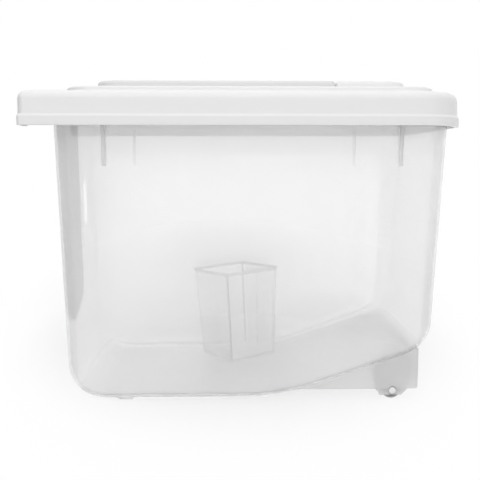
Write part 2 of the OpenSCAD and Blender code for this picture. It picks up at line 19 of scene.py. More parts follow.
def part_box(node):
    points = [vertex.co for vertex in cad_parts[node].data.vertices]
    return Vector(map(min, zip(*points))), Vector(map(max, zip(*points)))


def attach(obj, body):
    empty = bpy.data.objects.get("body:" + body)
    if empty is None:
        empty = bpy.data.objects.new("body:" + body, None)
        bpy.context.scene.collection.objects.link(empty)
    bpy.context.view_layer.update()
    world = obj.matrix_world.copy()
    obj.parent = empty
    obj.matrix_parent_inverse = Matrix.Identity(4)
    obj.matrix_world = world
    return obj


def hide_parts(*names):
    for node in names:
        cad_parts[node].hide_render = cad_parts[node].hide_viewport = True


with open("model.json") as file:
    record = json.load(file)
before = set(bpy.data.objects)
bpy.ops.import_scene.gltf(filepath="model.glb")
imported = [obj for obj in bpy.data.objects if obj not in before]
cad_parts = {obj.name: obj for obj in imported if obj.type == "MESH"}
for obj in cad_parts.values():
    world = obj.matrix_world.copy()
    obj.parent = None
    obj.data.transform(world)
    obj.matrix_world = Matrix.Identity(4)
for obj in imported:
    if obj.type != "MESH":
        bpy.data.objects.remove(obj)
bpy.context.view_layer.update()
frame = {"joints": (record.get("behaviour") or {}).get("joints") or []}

log = logging.getLogger("rice_bin")

MM = 0.001

# Steps round an upright corner, up a moulded fillet, round a small edge and along a bend
CORNER_STEPS = 16
FILLET_STEPS = 10
EDGE_STEPS = 4
BEND_STEPS = 12
TURN_STEPS = 72
# Least corner radius, the overlap that fuses two solids, and the run of a cutter past a face
LEAST_R = 0.4 * MM
BOND = 0.6 * MM
PAST = 1.0 * MM
# Edges that turn more than this stay crisp
CRISP_DEG = 32.0
# Sockets of a Map Range node in its vector form, which share their names with its plain form
RANGE_VECTOR, RANGE_FROM_MIN, RANGE_FROM_MAX, RANGE_TO_MIN, RANGE_TO_MAX = range(6, 11)

Ring = list[Vector]
Profile = list[tuple[float, float]]


class Side(Enum):
    """The two sides of the bin, by the sign of Y."""

    LEFT = -1
    RIGHT = 1


class Along(Enum):
    """The axis that a profile is extruded along."""

    X = "x"
    Y = "y"
    Z = "z"


class Joining(Enum):
    """How one solid is combined with others."""

    FUSE = "UNION"
    CUT = "DIFFERENCE"


# ---------------------------------------------------------------- outlines and meshes


@dataclass(frozen=True)
class PlanPoint:
    """A point of an outline seen from above, with its outward direction."""

    x: float
    y: float
    nx: float
    ny: float


@dataclass(frozen=True)
class Outline:
    """A rounded oblong seen from above, alike on both sides."""

    front: float
    rear: float
    half_w: float
    front_r: float
    rear_r: float

    def inset(self, t: float, front_t: float | None = None) -> "Outline":
        """Moves the outline inwards.

        Args:
            t: distance at the sides and the rear.
            front_t: distance at the front, the same as t if it isn't given.

        Returns:
            The smaller outline, its corners kept concentric.
        """
        ahead = t if front_t is None else front_t
        return Outline(self.front + ahead, self.rear - t, self.half_w - t,
                       max(self.front_r - ahead, LEAST_R), max(self.rear_r - t, LEAST_R))

    def half(self, stations: tuple[float, ...] = ()) -> list[PlanPoint]:
        """Walks the right-hand half from rear to front.

        Args:
            stations: extra places along X on the straight side, from rear to front.

        Returns:
            The points of both corners and the stations between them.
        """
        points = []
        for step in range(CORNER_STEPS + 1):
            a = math.pi / 2 * step / CORNER_STEPS
            points.append(PlanPoint(self.rear - self.rear_r * (1 - math.cos(a)),
                                    self.half_w - self.rear_r * (1 - math.sin(a)),
                                    math.cos(a), math.sin(a)))
        points += [PlanPoint(x, self.half_w, 0.0, 1.0) for x in stations]
        for step in range(CORNER_STEPS + 1):
            a = math.pi / 2 * (1 + step / CORNER_STEPS)
            points.append(PlanPoint(self.front + self.front_r * (1 + math.cos(a)),
                                    self.half_w - self.front_r * (1 - math.sin(a)),
                                    math.cos(a), math.sin(a)))
        return points

    def ring(self, z: float, stations: tuple[float, ...] = ()) -> Ring:
        """Returns the whole outline as a level ring at height z."""
        return whole_ring([Vector((p.x, p.y, z)) for p in self.half(stations)])


def whole_ring(half: Ring) -> Ring:
    """Closes half a ring with its mirror image on the left-hand side."""
    return half + [Vector((p.x, -p.y, p.z)) for p in reversed(half)]


def quarter(steps: int) -> list[float]:
    """Returns the angles from 0 to a right angle in so many steps."""
    return [math.pi / 2 * i / steps for i in range(steps + 1)]


def oblong(low: tuple[float, float], high: tuple[float, float]) -> Profile:
    """Returns the four corners of an oblong between its lowest and its highest one."""
    return [low, (high[0], low[1]), high, (low[0], high[1])]


def new_object(name: str, shape: bmesh.types.BMesh) -> bpy.types.Object:
    """Turns a finished bmesh into an object in the scene.

    Args:
        name: name of the object and its mesh.
        shape: the shape, which is freed.

    Returns:
        The new object.
    """
    bmesh.ops.recalc_face_normals(shape, faces=shape.faces)
    mesh = bpy.data.meshes.new(name)
    shape.to_mesh(mesh)
    shape.free()
    obj = bpy.data.objects.new(name, mesh)
    bpy.context.scene.collection.objects.link(obj)
    return obj


def ring_stack(name: str, rings: list[Ring]) -> bpy.types.Object:
    """Skins a closed solid through rings, its ends closed by strips across Y.

    Args:
        name: name of the object.
        rings: rings with equally many points, from one end to the other.

    Returns:
        The solid.
    """
    shape = bmesh.new()
    layers = [[shape.verts.new(p) for p in ring] for ring in rings]
    n = len(layers[0])
    for low, high in zip(layers, layers[1:]):
        for i in range(n):
            j = (i + 1) % n
            shape.faces.new((low[i], low[j], high[j], high[i]))
    for end in (layers[0], layers[-1]):
        for i in range(n // 2 - 1):
            shape.faces.new((end[i], end[i + 1], end[n - 2 - i], end[n - 1 - i]))
    return new_object(name, shape)


def prism(name: str, profile: Profile, along: Along, start: float, length: float,
          edge_r: float = 0.0) -> bpy.types.Object:
    """Extrudes a closed profile.

    Args:
        name: name of the object.
        profile: points (y, z) for a run along X, (x, z) along Y and (x, y) along Z.
        along: the axis of the run.
        start: place of the first face.
        length: length of the run.
        edge_r: rounding of all the edges.

    Returns:
        The solid.
    """
    def place(point: tuple[float, float], run: float) -> Vector:
        """Puts a profile point in space.

        Args:
            point: the point of the profile.
            run: its place along the run.

        Returns:
            The point in space.
        """
        a, b = point
        if along is Along.X:
            return Vector((run, a, b))
        if along is Along.Y:
            return Vector((a, run, b))
        return Vector((a, b, run))

    shape = bmesh.new()
    near = [shape.verts.new(place(p, start)) for p in profile]
    far = [shape.verts.new(place(p, start + length)) for p in profile]
    shape.faces.new(near)
    shape.faces.new(list(reversed(far)))
    for i in range(len(profile)):
        j = (i + 1) % len(profile)
        shape.faces.new((near[j], near[i], far[i], far[j]))
    if edge_r > 0:
        bmesh.ops.bevel(shape, geom=list(shape.edges), offset=edge_r, segments=2,
                        profile=0.5, affect="EDGES", clamp_overlap=True)
    return new_object(name, shape)


def turned(name: str, profile: Profile, centre: Vector) -> bpy.types.Object:
    """Turns a profile about an axis that runs across the bin.

    Args:
        name: name of the object.
        profile: closed outline of points (radius, place along +Y), none of them on the axis
            but the first and the last, which may be.
        centre: point of the axis where the place is 0.

    Returns:
        The solid.
    """
    shape = bmesh.new()
    rows = []
    for radius, run in profile:
        if radius <= 0:
            rows.append([shape.verts.new(centre + Vector((0, run, 0)))])
            continue
        angles = [2 * math.pi * i / TURN_STEPS for i in range(TURN_STEPS)]
        rows.append([shape.verts.new(centre + Vector((radius * math.cos(a), run,
                                                      radius * math.sin(a)))) for a in angles])
    closed = len(rows[0]) > 1
    pairs = list(zip(rows, rows[1:])) + ([(rows[-1], rows[0])] if closed else [])
    for low, high in pairs:
        for i in range(TURN_STEPS):
            j = (i + 1) % TURN_STEPS
            corners = [low[i % len(low)], low[j % len(low)], high[j % len(high)], high[i % len(high)]]
            shape.faces.new(list(dict.fromkeys(corners)))
    return new_object(name, shape)


def rod(name: str, radius: float, half: float, centre: Vector) -> bpy.types.Object:
    """Builds a plain rod across the bin, so long on each side of its centre."""
    return turned(name, [(0.0, -half), (radius, -half), (radius, half), (0.0, half)], centre)


def combine(base: bpy.types.Object, others: list[bpy.types.Object], joining: Joining) -> None:
    """Fuses solids to a base or cuts them from it, and deletes them.

    Args:
        base: the solid that stays, its mesh replaced.
        others: the solids that are used up.
        joining: what is done with them.
    """
    for other in others:
        step = base.modifiers.new(joining.name.lower(), "BOOLEAN")
        step.object = other
        step.operation = joining.value
        step.solver = "MANIFOLD"
    graph = bpy.context.evaluated_depsgraph_get()
    mesh = bpy.data.meshes.new_from_object(base.evaluated_get(graph))
    base.modifiers.clear()
    spent = [base.data] + [other.data for other in others]
    mesh.name = base.name
    base.data = mesh
    for other in others:
        bpy.data.objects.remove(other)
    for old in spent:
        bpy.data.meshes.remove(old)


def smooth(obj: bpy.types.Object) -> None:
    """Shades an object smooth, with crisp edges and level large faces.

    Args:
        obj: the object.
    """
    obj.data.shade_smooth()
    obj.data.set_sharp_from_angle(angle=math.radians(CRISP_DEG))
    weights = obj.modifiers.new("level_faces", "WEIGHTED_NORMAL")
    weights.keep_sharp = True


def open_edges(obj: bpy.types.Object) -> int:
    """Counts the edges of an object that don't join exactly two faces.

    Args:
        obj: the object.

    Returns:
        How many there are.
    """
    shape = bmesh.new()
    shape.from_mesh(obj.data)
    count = sum(1 for edge in shape.edges if len(edge.link_faces) != 2)
    shape.free()
    return count


# ---------------------------------------------------------------- finishes


@dataclass(frozen=True)
class Finish:
    """A moulded or turned surface: tone, haze, gloss and the fine relief of its mould.

    The tone wanders by the share mottle, in patches of mottle_size that are drawn out upwards, and
    the gloss by gloss_drift, in patches finer by gloss_finer. The grain and the wave are heights.
    Opacity is the share that isn't looked straight through, and passing is what that share lets
    through as haze. The skin is a clear coat.
    """

    name: str
    tone: float
    mottle: float = 0.02
    mottle_size: float = 0.05
    roughness: float = 0.35
    gloss_drift: float = 0.06
    gloss_finer: float = 3.0
    grain: float = 0.00001
    grain_size: float = 0.0012
    opacity: float = 1.0
    passing: float = 0.0
    metal: float = 0.0
    refraction: float = 1.49
    drawn: float = 1.0
    skin: float = 0.0
    skin_roughness: float = 0.05
    skin_refraction: float = 1.5
    wave: float = 0.0
    wave_size: float = 0.025

    def material(self) -> bpy.types.Material:
        """Builds the node material.

        Returns:
            A material whose colour and gloss wander a little and whose surface has a fine grain.
        """
        material = bpy.data.materials.new(self.name)
        material.use_nodes = True
        nodes = material.node_tree.nodes
        links = material.node_tree.links
        shader = nodes["Principled BSDF"]
        shader.inputs["Metallic"].default_value = self.metal
        shader.inputs["IOR"].default_value = self.refraction
        shader.inputs["Alpha"].default_value = self.opacity
        shader.inputs["Transmission Weight"].default_value = self.passing
        shader.inputs["Coat Weight"].default_value = self.skin
        shader.inputs["Coat Roughness"].default_value = self.skin_roughness
        shader.inputs["Coat IOR"].default_value = self.skin_refraction

        place = nodes.new("ShaderNodeTexCoord")
        stretch = nodes.new("ShaderNodeMapping")
        stretch.inputs["Scale"].default_value = (1.0, 1.0, self.drawn)
        links.new(place.outputs["Object"], stretch.inputs["Vector"])

        drift = self._noise(nodes, links, stretch, self.mottle_size, detail=3.0)
        colour = nodes.new("ShaderNodeMix")
        colour.data_type = "RGBA"
        colour.inputs["A"].default_value = self._grey(self.tone * (1 - self.mottle))
        colour.inputs["B"].default_value = self._grey(self.tone * (1 + self.mottle))
        links.new(drift.outputs["Fac"], colour.inputs["Factor"])
        links.new(colour.outputs["Result"], shader.inputs["Base Color"])

        polish = nodes.new("ShaderNodeMapRange")
        polish.inputs["To Min"].default_value = self.roughness - self.gloss_drift
        polish.inputs["To Max"].default_value = self.roughness + self.gloss_drift
        patches = self._noise(nodes, links, stretch, self.mottle_size / self.gloss_finer, detail=2.0)
        links.new(patches.outputs["Fac"], polish.inputs["Value"])
        links.new(polish.outputs["Result"], shader.inputs["Roughness"])

        pores = self._relief(nodes, links, stretch, self.grain, self.grain_size, detail=2.0)
        links.new(pores.outputs["Normal"], shader.inputs["Normal"])
        if self.wave > 0:
            swells = self._relief(nodes, links, stretch, self.wave, self.wave_size, detail=1.0)
            links.new(swells.outputs["Normal"], shader.inputs["Coat Normal"])
        return material

    @staticmethod
    def _grey(level: float) -> tuple[float, float, float, float]:
        """Returns a neutral colour of that level, no lighter than white."""
        value = min(level, 1.0)
        return value, value, value, 1.0

    @staticmethod
    def _noise(nodes: bpy.types.Nodes, links: bpy.types.NodeLinks, source: bpy.types.Node,
               size: float, detail: float) -> bpy.types.Node:
        """Adds a noise whose patches are about so large.

        Args:
            nodes: nodes of the material.
            links: links of the material.
            source: node that gives the place.
            size: width of a patch.
            detail: octaves of finer noise.

        Returns:
            The noise node.
        """
        noise = nodes.new("ShaderNodeTexNoise")
        noise.inputs["Scale"].default_value = 1.0 / size
        noise.inputs["Detail"].default_value = detail
        links.new(source.outputs["Vector"], noise.inputs["Vector"])
        return noise

    def _relief(self, nodes: bpy.types.Nodes, links: bpy.types.NodeLinks, source: bpy.types.Node,
                height: float, size: float, detail: float) -> bpy.types.Node:
        """Adds a relief of a noise.

        Args:
            nodes: nodes of the material.
            links: links of the material.
            source: node that gives the place.
            height: height of the relief.
            size: width of a swell or a pore.
            detail: octaves of finer noise.

        Returns:
            The bump node.
        """
        relief = nodes.new("ShaderNodeBump")
        relief.inputs["Distance"].default_value = height
        relief.inputs["Strength"].default_value = 1.0
        links.new(self._noise(nodes, links, source, size, detail).outputs["Fac"],
                  relief.inputs["Height"])
        return relief


MILKY_PLASTIC = Finish("milky_plastic", tone=0.96, mottle=0.05, mottle_size=0.07, roughness=0.8,
                       grain=0.000012, opacity=0.37, passing=0.93, refraction=1.3, drawn=0.35,
                       skin=1.0, skin_refraction=4.0, wave=0.0001)
THICK_PLASTIC = Finish("thick_milky_plastic", tone=0.98, mottle=0.02, mottle_size=0.07,
                       roughness=0.8, opacity=0.7, passing=0.8, refraction=1.3, drawn=0.35,
                       skin=1.0, skin_refraction=2.5)
# Ribs: the walls' milky plastic, more opaque where it is thick, with a darker tone that is painted shade
RIB_SHADED_PLASTIC = Finish("rib_shaded_milky_plastic", tone=0.78, mottle=0.02, mottle_size=0.03,
                     roughness=0.5, opacity=0.75, passing=0.6, refraction=1.3)
SKIRT_PLASTIC = Finish("skirt_milky_plastic", tone=0.98, mottle=0.02, mottle_size=0.03,
                       roughness=0.5, opacity=0.9, passing=0.35, refraction=1.3, skin=0.5)
WHITE_PLASTIC = Finish("white_plastic", tone=0.92, mottle=0.012, mottle_size=0.07, roughness=0.35,
                       skin=0.4, skin_roughness=0.08, skin_refraction=2.0)
DOOR_PLASTIC = Finish("door_plastic", tone=0.89, mottle=0.015, mottle_size=0.05, roughness=0.22,
                      opacity=0.9)
HOUSING_PLASTIC = Finish("housing_plastic", tone=0.99, mottle=0.01, mottle_size=0.01,
                         roughness=0.6, grain_size=0.0006, opacity=0.9, passing=0.3,
                         refraction=1.3)
WHEEL_PLASTIC = Finish("wheel_plastic", tone=0.5, mottle=0.06, mottle_size=0.006, roughness=0.42,
                       grain=0.00002, grain_size=0.0005)
AXLE_STEEL = Finish("axle_steel", tone=0.8, mottle=0.05, mottle_size=0.003, roughness=0.24,
                    grain=0.000006, grain_size=0.0003, metal=1.0, refraction=2.5)
CLEAR_PLASTIC = Finish("clear_plastic", tone=0.98, mottle=0.02, mottle_size=0.03, roughness=0.1,
                       gloss_drift=0.03, grain=0.000004, opacity=0.4, passing=1.0)
# The cup's corners and rim: a darker, more opaque clear plastic, painted shade for the dark lines that
# refraction draws along a clear cup's edges
CLEAR_DARK_EDGE = Finish("clear_plastic_painted_dark_edge", tone=0.5, mottle=0.04, mottle_size=0.02, roughness=0.15,
                    gloss_drift=0.03, grain=0.000004, opacity=0.65, passing=0.4)


class Zone(Enum):
    """Zones of one moulding that have finishes of their own, in the order of its materials."""

    @property
    def place(self) -> int:
        """Returns the zone's place among the moulding's materials."""
        return list(type(self)).index(self)


class TubZone(Zone):
    """The zones of the container."""

    WALL = MILKY_PLASTIC
    RIB = RIB_SHADED_PLASTIC
    SKIRT = SKIRT_PLASTIC
    FLOOR = THICK_PLASTIC


class CupZone(Zone):
    """The zones of the cup."""

    WALL = CLEAR_PLASTIC
    EDGE = CLEAR_DARK_EDGE


def coat(obj: bpy.types.Object, finishes: list[bpy.types.Material], chosen: int = 0) -> None:
    """Gives a solid its materials and covers all of it with one of them.

    Args:
        obj: the solid.
        finishes: the materials of the whole piece, in the same order on all its solids.
        chosen: place in the list of the one that covers this solid.
    """
    obj.data.materials.clear()
    for finish in finishes:
        obj.data.materials.append(finish)
    for face in obj.data.polygons:
        face.material_index = chosen


def dress(obj: bpy.types.Object, body: str, slot: str, *nodes: str) -> None:
    """Smooths a coated piece, seats it on its body and lets it stand for its solids.

    Args:
        obj: the piece, already in place.
        body: the body that it moves with.
        slot: not used.
        nodes: the solids that it stands for.
    """
    smooth(obj)
    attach(obj, body)
    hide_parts(*nodes)


# ---------------------------------------------------------------- sizes


@dataclass(frozen=True)
class BinSizes:
    """Sizes that several pieces share, read from the solids that they stand for."""

    half_l: float
    half_w: float
    lid_bottom: float
    top: float
    rim_l: float
    rim_w: float
    rim_z: float
    door_front: float
    door_y: float
    door_z: float
    hinge: Vector
    wheel: Vector
    wheel_r: float
    wheel_w: float

    @classmethod
    def from_frame(cls) -> "BinSizes":
        """Reads the boxes of the solids and the place of the door's hinge.

        Returns:
            The sizes.
        """
        lid_low, lid_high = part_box("lid")
        rim_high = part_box("container")[1]
        door_low, door_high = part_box("flip_lid")
        wheel_low, wheel_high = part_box("wheel_right")
        hinge = next(j for j in frame["joints"] if j["name"] == "flip_lid_hinge")
        return cls(
            half_l=lid_high[0], half_w=lid_high[1], lid_bottom=lid_low[2], top=lid_high[2],
            rim_l=rim_high[0], rim_w=rim_high[1], rim_z=rim_high[2],
            door_front=door_low[0] + FlipDoor.tab_l, door_y=door_high[1], door_z=door_low[2],
            hinge=Vector(hinge["pos_m"]),
            wheel=(Vector(wheel_low) + Vector(wheel_high)) / 2,
            wheel_r=(wheel_high[2] - wheel_low[2]) / 2, wheel_w=wheel_high[1] - wheel_low[1])


# ---------------------------------------------------------------- container


@dataclass
class Container:
    """The milky tub: leaning walls, a rear floor that climbs, a rim, ribs, feet and skirts."""

    sizes: BinSizes
    # Wall, height of the floor, and how far the rim reaches past the walls' tops
    wall_t: float = 2.2 * MM
    floor_lift: float = 4.2 * MM
    front_flat: float = 12.9 * MM
    rear_flat: float = 0.3 * MM
    side_flat: float = 2.2 * MM
    # Lean of the walls in degrees
    front_draft: float = 1.92
    rear_draft: float = 2.87
    side_draft: float = 2.26
    # Radii of the upright corners and of the fillets at the walls' feet
    corner_r: float = 27 * MM
    front_r: float = 32 * MM
    side_r: float = 13 * MM
    rear_r: float = 20 * MM
    # The floor's bend: its place from the rear of the lid, its slope and its radius
    bend_rear: float = 162.5 * MM
    slope_deg: float = 18.7
    slope_r: float = 220 * MM
    # Rim and its down-turned lip
    rim_t: float = 1.9 * MM
    lip_h: float = 10.5 * MM
    rim_front_r: float = 6 * MM
    rim_rear_r: float = 42 * MM
    rim_edge_r: float = 3.1 * MM
    lip_in_r: float = 1.2 * MM
    # Ribs under the rim, by their places from the ends of the lid
    rib_front: float = 71.5 * MM
    rib_rear: float = 59.5 * MM
    rib_t: float = 3 * MM
    rib_h: float = 58 * MM
    rib_toe: float = 3 * MM
    # Feet, by their places from the lid's front and side
    foot_front: float = 70 * MM
    foot_side: float = 37.5 * MM
    foot_l: float = 19.5 * MM
    foot_w: float = 30 * MM
    foot_toe: float = 8 * MM
    # Wheel skirts, by their places from the lid's side and rear, and caster pockets
    skirt_side: float = 30.5 * MM
    skirt_t: float = 2 * MM
    skirt_rear: float = 33.3 * MM
    skirt_z: float = 10.7 * MM
    skirt_r: float = 3 * MM
    pocket_z: float = 14 * MM
    notch_r: float = 4.2 * MM
    edge_r: float = 0.35 * MM
    # Faces so level and so low take the finish of the floor
    floor_part: float = 0.7
    floor_top: float = 80 * MM

    def __post_init__(self) -> None:
        """Works out the places of the walls, the bend in the floor and the skirts."""
        s = self.sizes
        self.front_lean = math.tan(math.radians(self.front_draft))
        self.rear_lean = math.tan(math.radians(self.rear_draft))
        self.side_lean = math.tan(math.radians(self.side_draft))
        self.flange_z = s.rim_z - self.rim_t
        self.base = Outline(
            -s.rim_l + self.rim_edge_r + self.front_flat + s.rim_z * self.front_lean,
            s.rim_l - self.rim_edge_r - self.rear_flat - s.rim_z * self.rear_lean,
            s.rim_w - self.rim_edge_r - self.side_flat - s.rim_z * self.side_lean,
            self.corner_r, self.corner_r)
        self.rim = Outline(-s.rim_l, s.rim_l, s.rim_w, self.rim_front_r, self.rim_rear_r)
        self.slope = math.radians(self.slope_deg)
        self.bend_start = s.half_l - self.bend_rear - self.slope_r * math.tan(self.slope / 2)
        self.bend_end = self.bend_start + self.slope_r * math.sin(self.slope)
        span = self.bend_end - self.bend_start
        self.stations = tuple(self.bend_end - span * i / BEND_STEPS for i in range(BEND_STEPS + 1))
        self.skirt_y = s.half_w - self.skirt_side
        self.skirt_rear_x = s.half_l - self.skirt_rear

    def floor_z(self, x: float) -> float:
        """Returns the height of the floor's underside at x.

        Args:
            x: place along the bin.

        Returns:
            The height.
        """
        if x < self.bend_start:
            return self.floor_lift
        if x < self.bend_end:
            along = x - self.bend_start
            return self.floor_lift + self.slope_r - math.sqrt(self.slope_r ** 2 - along ** 2)
        climb = self.slope_r * (1 - math.cos(self.slope))
        return self.floor_lift + climb + (x - self.bend_end) * math.tan(self.slope)

    def in_floor(self, x: float) -> float:
        """Returns the height of the middle of the floor's thickness at x."""
        return self.floor_z(x) + self.wall_t / 2

    def _leant(self, p: PlanPoint, z: float) -> Vector:
        """Moves a wall point out by the wall's lean over height z."""
        lean = self.front_lean if p.nx < 0 else self.rear_lean
        return Vector((p.x + p.nx * z * lean, p.y + p.ny * z * self.side_lean, z))

    def _body_ring(self, a: float, t: float) -> Ring:
        """Returns the ring at angle a up the lower fillet.

        Args:
            a: angle from level, 0 at the floor and a right angle at the wall.
            t: inset, 0 for the outside and the wall's thickness for the inside.

        Returns:
            The ring.
        """
        short = 1 - math.sin(a)
        side, front, rear = self.side_r - t, self.front_r - t, self.rear_r - t
        corner = self.corner_r - t - side * short
        plan = Outline(self.base.front + t + front * short, self.base.rear - t - rear * short,
                       self.base.half_w - t - side * short, corner, corner)
        points = []
        for p in plan.half(self.stations):
            radius = side + ((front if p.nx < 0 else rear) - side) * p.nx ** 2
            points.append(self._leant(p, self.floor_z(p.x) + t + radius * (1 - math.cos(a))))
        return whole_ring(points)

    def _wall_ring(self, z: float, t: float) -> Ring:
        """Returns the ring of the straight wall at height z, inset by t."""
        return whole_ring([self._leant(p, z) for p in self.base.inset(t).half(self.stations)])

    def _shell(self) -> bpy.types.Object:
        """Skins the tub from its outside, over the rim, to its inside.

        Returns:
            The tub without its ribs, feet and skirts.
        """
        top = self.sizes.rim_z
        rings = [self._body_ring(a, 0.0) for a in quarter(FILLET_STEPS)]
        rings.append(self._wall_ring(self.flange_z, 0.0))
        for a in reversed(quarter(EDGE_STEPS)):
            rings.append(self._rim_ring(self.flange_z - self.lip_in_r * (1 - math.sin(a)),
                                        self.rim_t + self.lip_in_r * (1 - math.cos(a))))
        lip = top - self.lip_h
        rings += [self._rim_ring(lip, self.rim_t), self._rim_ring(lip, 0.0)]
        for a in quarter(FILLET_STEPS):
            rings.append(self._rim_ring(top - self.rim_edge_r * (1 - math.sin(a)),
                                        self.rim_edge_r * (1 - math.cos(a))))
        rings.append(self._wall_ring(top, self.wall_t))
        rings += [self._body_ring(a, self.wall_t) for a in reversed(quarter(FILLET_STEPS))]
        return ring_stack("bin_tub", rings)

    def _rim_ring(self, z: float, t: float) -> Ring:
        """Returns the ring of the rim's lip at height z, inset by t."""
        return self.rim.inset(t).ring(z, self.stations)

    def _rib(self, x: float, side: Side) -> bpy.types.Object:
        """Builds the upright rib at x, from the wall out to the rim's lip.

        Args:
            x: its middle along the bin.
            side: the side of the bin.

        Returns:
            The rib.
        """
        low = self.flange_z - self.rib_h
        root = self.wall_t / 2
        out = self.sizes.rim_w - self.rim_t / 2
        wall_low = self.base.half_w + low * self.side_lean
        wall_top = self.base.half_w + self.flange_z * self.side_lean
        profile = [(wall_low - root, low), (wall_low + self.rib_toe, low),
                   (out, self.sizes.lid_bottom), (out, self.flange_z + root),
                   (wall_top - root, self.flange_z + root)]
        mirrored = [(side.value * y, z) for y, z in profile]
        return prism("rib", mirrored, Along.X, x - self.rib_t / 2, self.rib_t, self.edge_r)

    def _foot(self, side: Side) -> bpy.types.Object:
        """Builds a front foot: a low pad with a sloped front.

        Args:
            side: the side of the bin.

        Returns:
            The foot.
        """
        front = -self.sizes.half_l + self.foot_front
        outer = self.sizes.half_w - self.foot_side
        root = self.floor_lift + self.wall_t / 2
        profile = [(front, root), (front, self.floor_lift), (front + self.foot_toe, 0.0),
                   (front + self.foot_l, 0.0), (front + self.foot_l, root)]
        start = min(side.value * outer, side.value * (outer - self.foot_w))
        return prism("foot", profile, Along.Y, start, self.foot_w, self.edge_r)

    def _skirt_profile(self) -> Profile:
        """Returns the side view of a wheel skirt.

        Returns:
            Its profile, from its front tip along its lower edge and back.
        """
        climb = self.skirt_z - self.floor_lift
        front = self.bend_start + math.sqrt(climb * (2 * self.slope_r - climb))
        points = [(front, self.skirt_z)]
        for a in quarter(FILLET_STEPS):
            points.append((self.skirt_rear_x - self.skirt_r * (1 - math.sin(a)),
                           self.skirt_z + self.skirt_r * (1 - math.cos(a))))
        for i in range(BEND_STEPS + 1):
            x = self.skirt_rear_x - (self.skirt_rear_x - front) * i / BEND_STEPS
            points.append((x, self.in_floor(x)))
        return points

    def _skirt(self, side: Side) -> bpy.types.Object:
        """Builds a wheel skirt with an open notch round the axle's head.

        Args:
            side: the side of the bin.

        Returns:
            The skirt.
        """
        start = min(side.value * self.skirt_y, side.value * (self.skirt_y - self.skirt_t))
        skirt = prism("skirt", self._skirt_profile(), Along.Y, start, self.skirt_t)
        wheel = self.sizes.wheel
        notch = rod("notch", self.notch_r, self.skirt_t + 2 * PAST,
                    Vector((wheel.x, side.value * self.skirt_y, wheel.z)))
        combine(skirt, [notch], Joining.CUT)
        return skirt

    def _pocket(self, side: Side, caster: "Caster") -> list[bpy.types.Object]:
        """Builds the walls that hold a caster: two across, one inboard and the web over it.

        Args:
            side: the side of the bin.
            caster: the caster whose housing they hold.

        Returns:
            The walls, still loose.
        """
        wheel = self.sizes.wheel
        t = self.skirt_t
        reach = caster.housing_l / 2 + caster.rest_gap
        inner = wheel.y - caster.cheek_out - caster.rest_gap - t
        start = min(side.value * inner, side.value * (self.skirt_y - BOND))
        barb_low = caster.barb_z - caster.rest_gap
        barb_high = caster.barb_z + caster.barb_h + caster.rest_gap
        barb_room = caster.barb_w + 2 * caster.rest_gap
        walls = []
        for end in (-1, 1):
            x = wheel.x + end * (reach + t / 2)
            outline = oblong((x - t / 2, self.pocket_z), (x + t / 2, self.in_floor(x)))
            wall = prism("pocket_wall", outline, Along.Y, start, self.skirt_y - inner - BOND)
            window = prism("barb_window", oblong((x - t, barb_low), (x + t, barb_high)), Along.Y,
                           side.value * wheel.y - barb_room / 2, barb_room)
            combine(wall, [window], Joining.CUT)
            walls.append(wall)
        front, rear = wheel.x - reach - t / 2, wheel.x + reach + t / 2
        for low, middle in ((self.pocket_z, inner + t / 2),
                            (caster.housing_top + caster.rest_gap, wheel.y)):
            outline = [(front, low), (rear, low), (rear, self.in_floor(rear)),
                       (front, self.in_floor(front))]
            walls.append(prism("pocket_web", outline, Along.Y, side.value * middle - t / 2, t))
        return walls

    def _rear_panel(self) -> bpy.types.Object:
        """Builds the panel across the rear, between the two skirts.

        Returns:
            The panel.
        """
        low = self.skirt_z + self.skirt_r
        x = self.skirt_rear_x
        half = self.skirt_y - BOND
        outline = oblong((x - self.skirt_t, low), (x, self.in_floor(x)))
        return prism("rear_panel", outline, Along.Y, -half, 2 * half)

    def build(self, caster: "Caster") -> bpy.types.Object:
        """Moulds the tub with all that hangs on it in one piece.

        Args:
            caster: the caster whose housing the pockets hold.

        Returns:
            The container.
        """
        tub = self._shell()
        finishes = [zone.value.material() for zone in TubZone]
        coat(tub, finishes)
        for face in tub.data.polygons:
            if abs(face.normal.z) > self.floor_part and face.center.z < self.floor_top:
                face.material_index = TubZone.FLOOR.place
        ribs: list[bpy.types.Object] = []
        skirts = [self._rear_panel()]
        for side in Side:
            ribs += [self._rib(-self.sizes.half_l + self.rib_front, side),
                     self._rib(self.sizes.half_l - self.rib_rear, side)]
            skirts += [self._foot(side), self._skirt(side), *self._pocket(side, caster)]
        for zone, parts in ((TubZone.RIB, ribs), (TubZone.SKIRT, skirts)):
            for part in parts:
                coat(part, finishes, zone.place)
        combine(tub, skirts + ribs, Joining.FUSE)
        dress(tub, "bin", "container_plastic", "container")
        return tub


# ---------------------------------------------------------------- casters


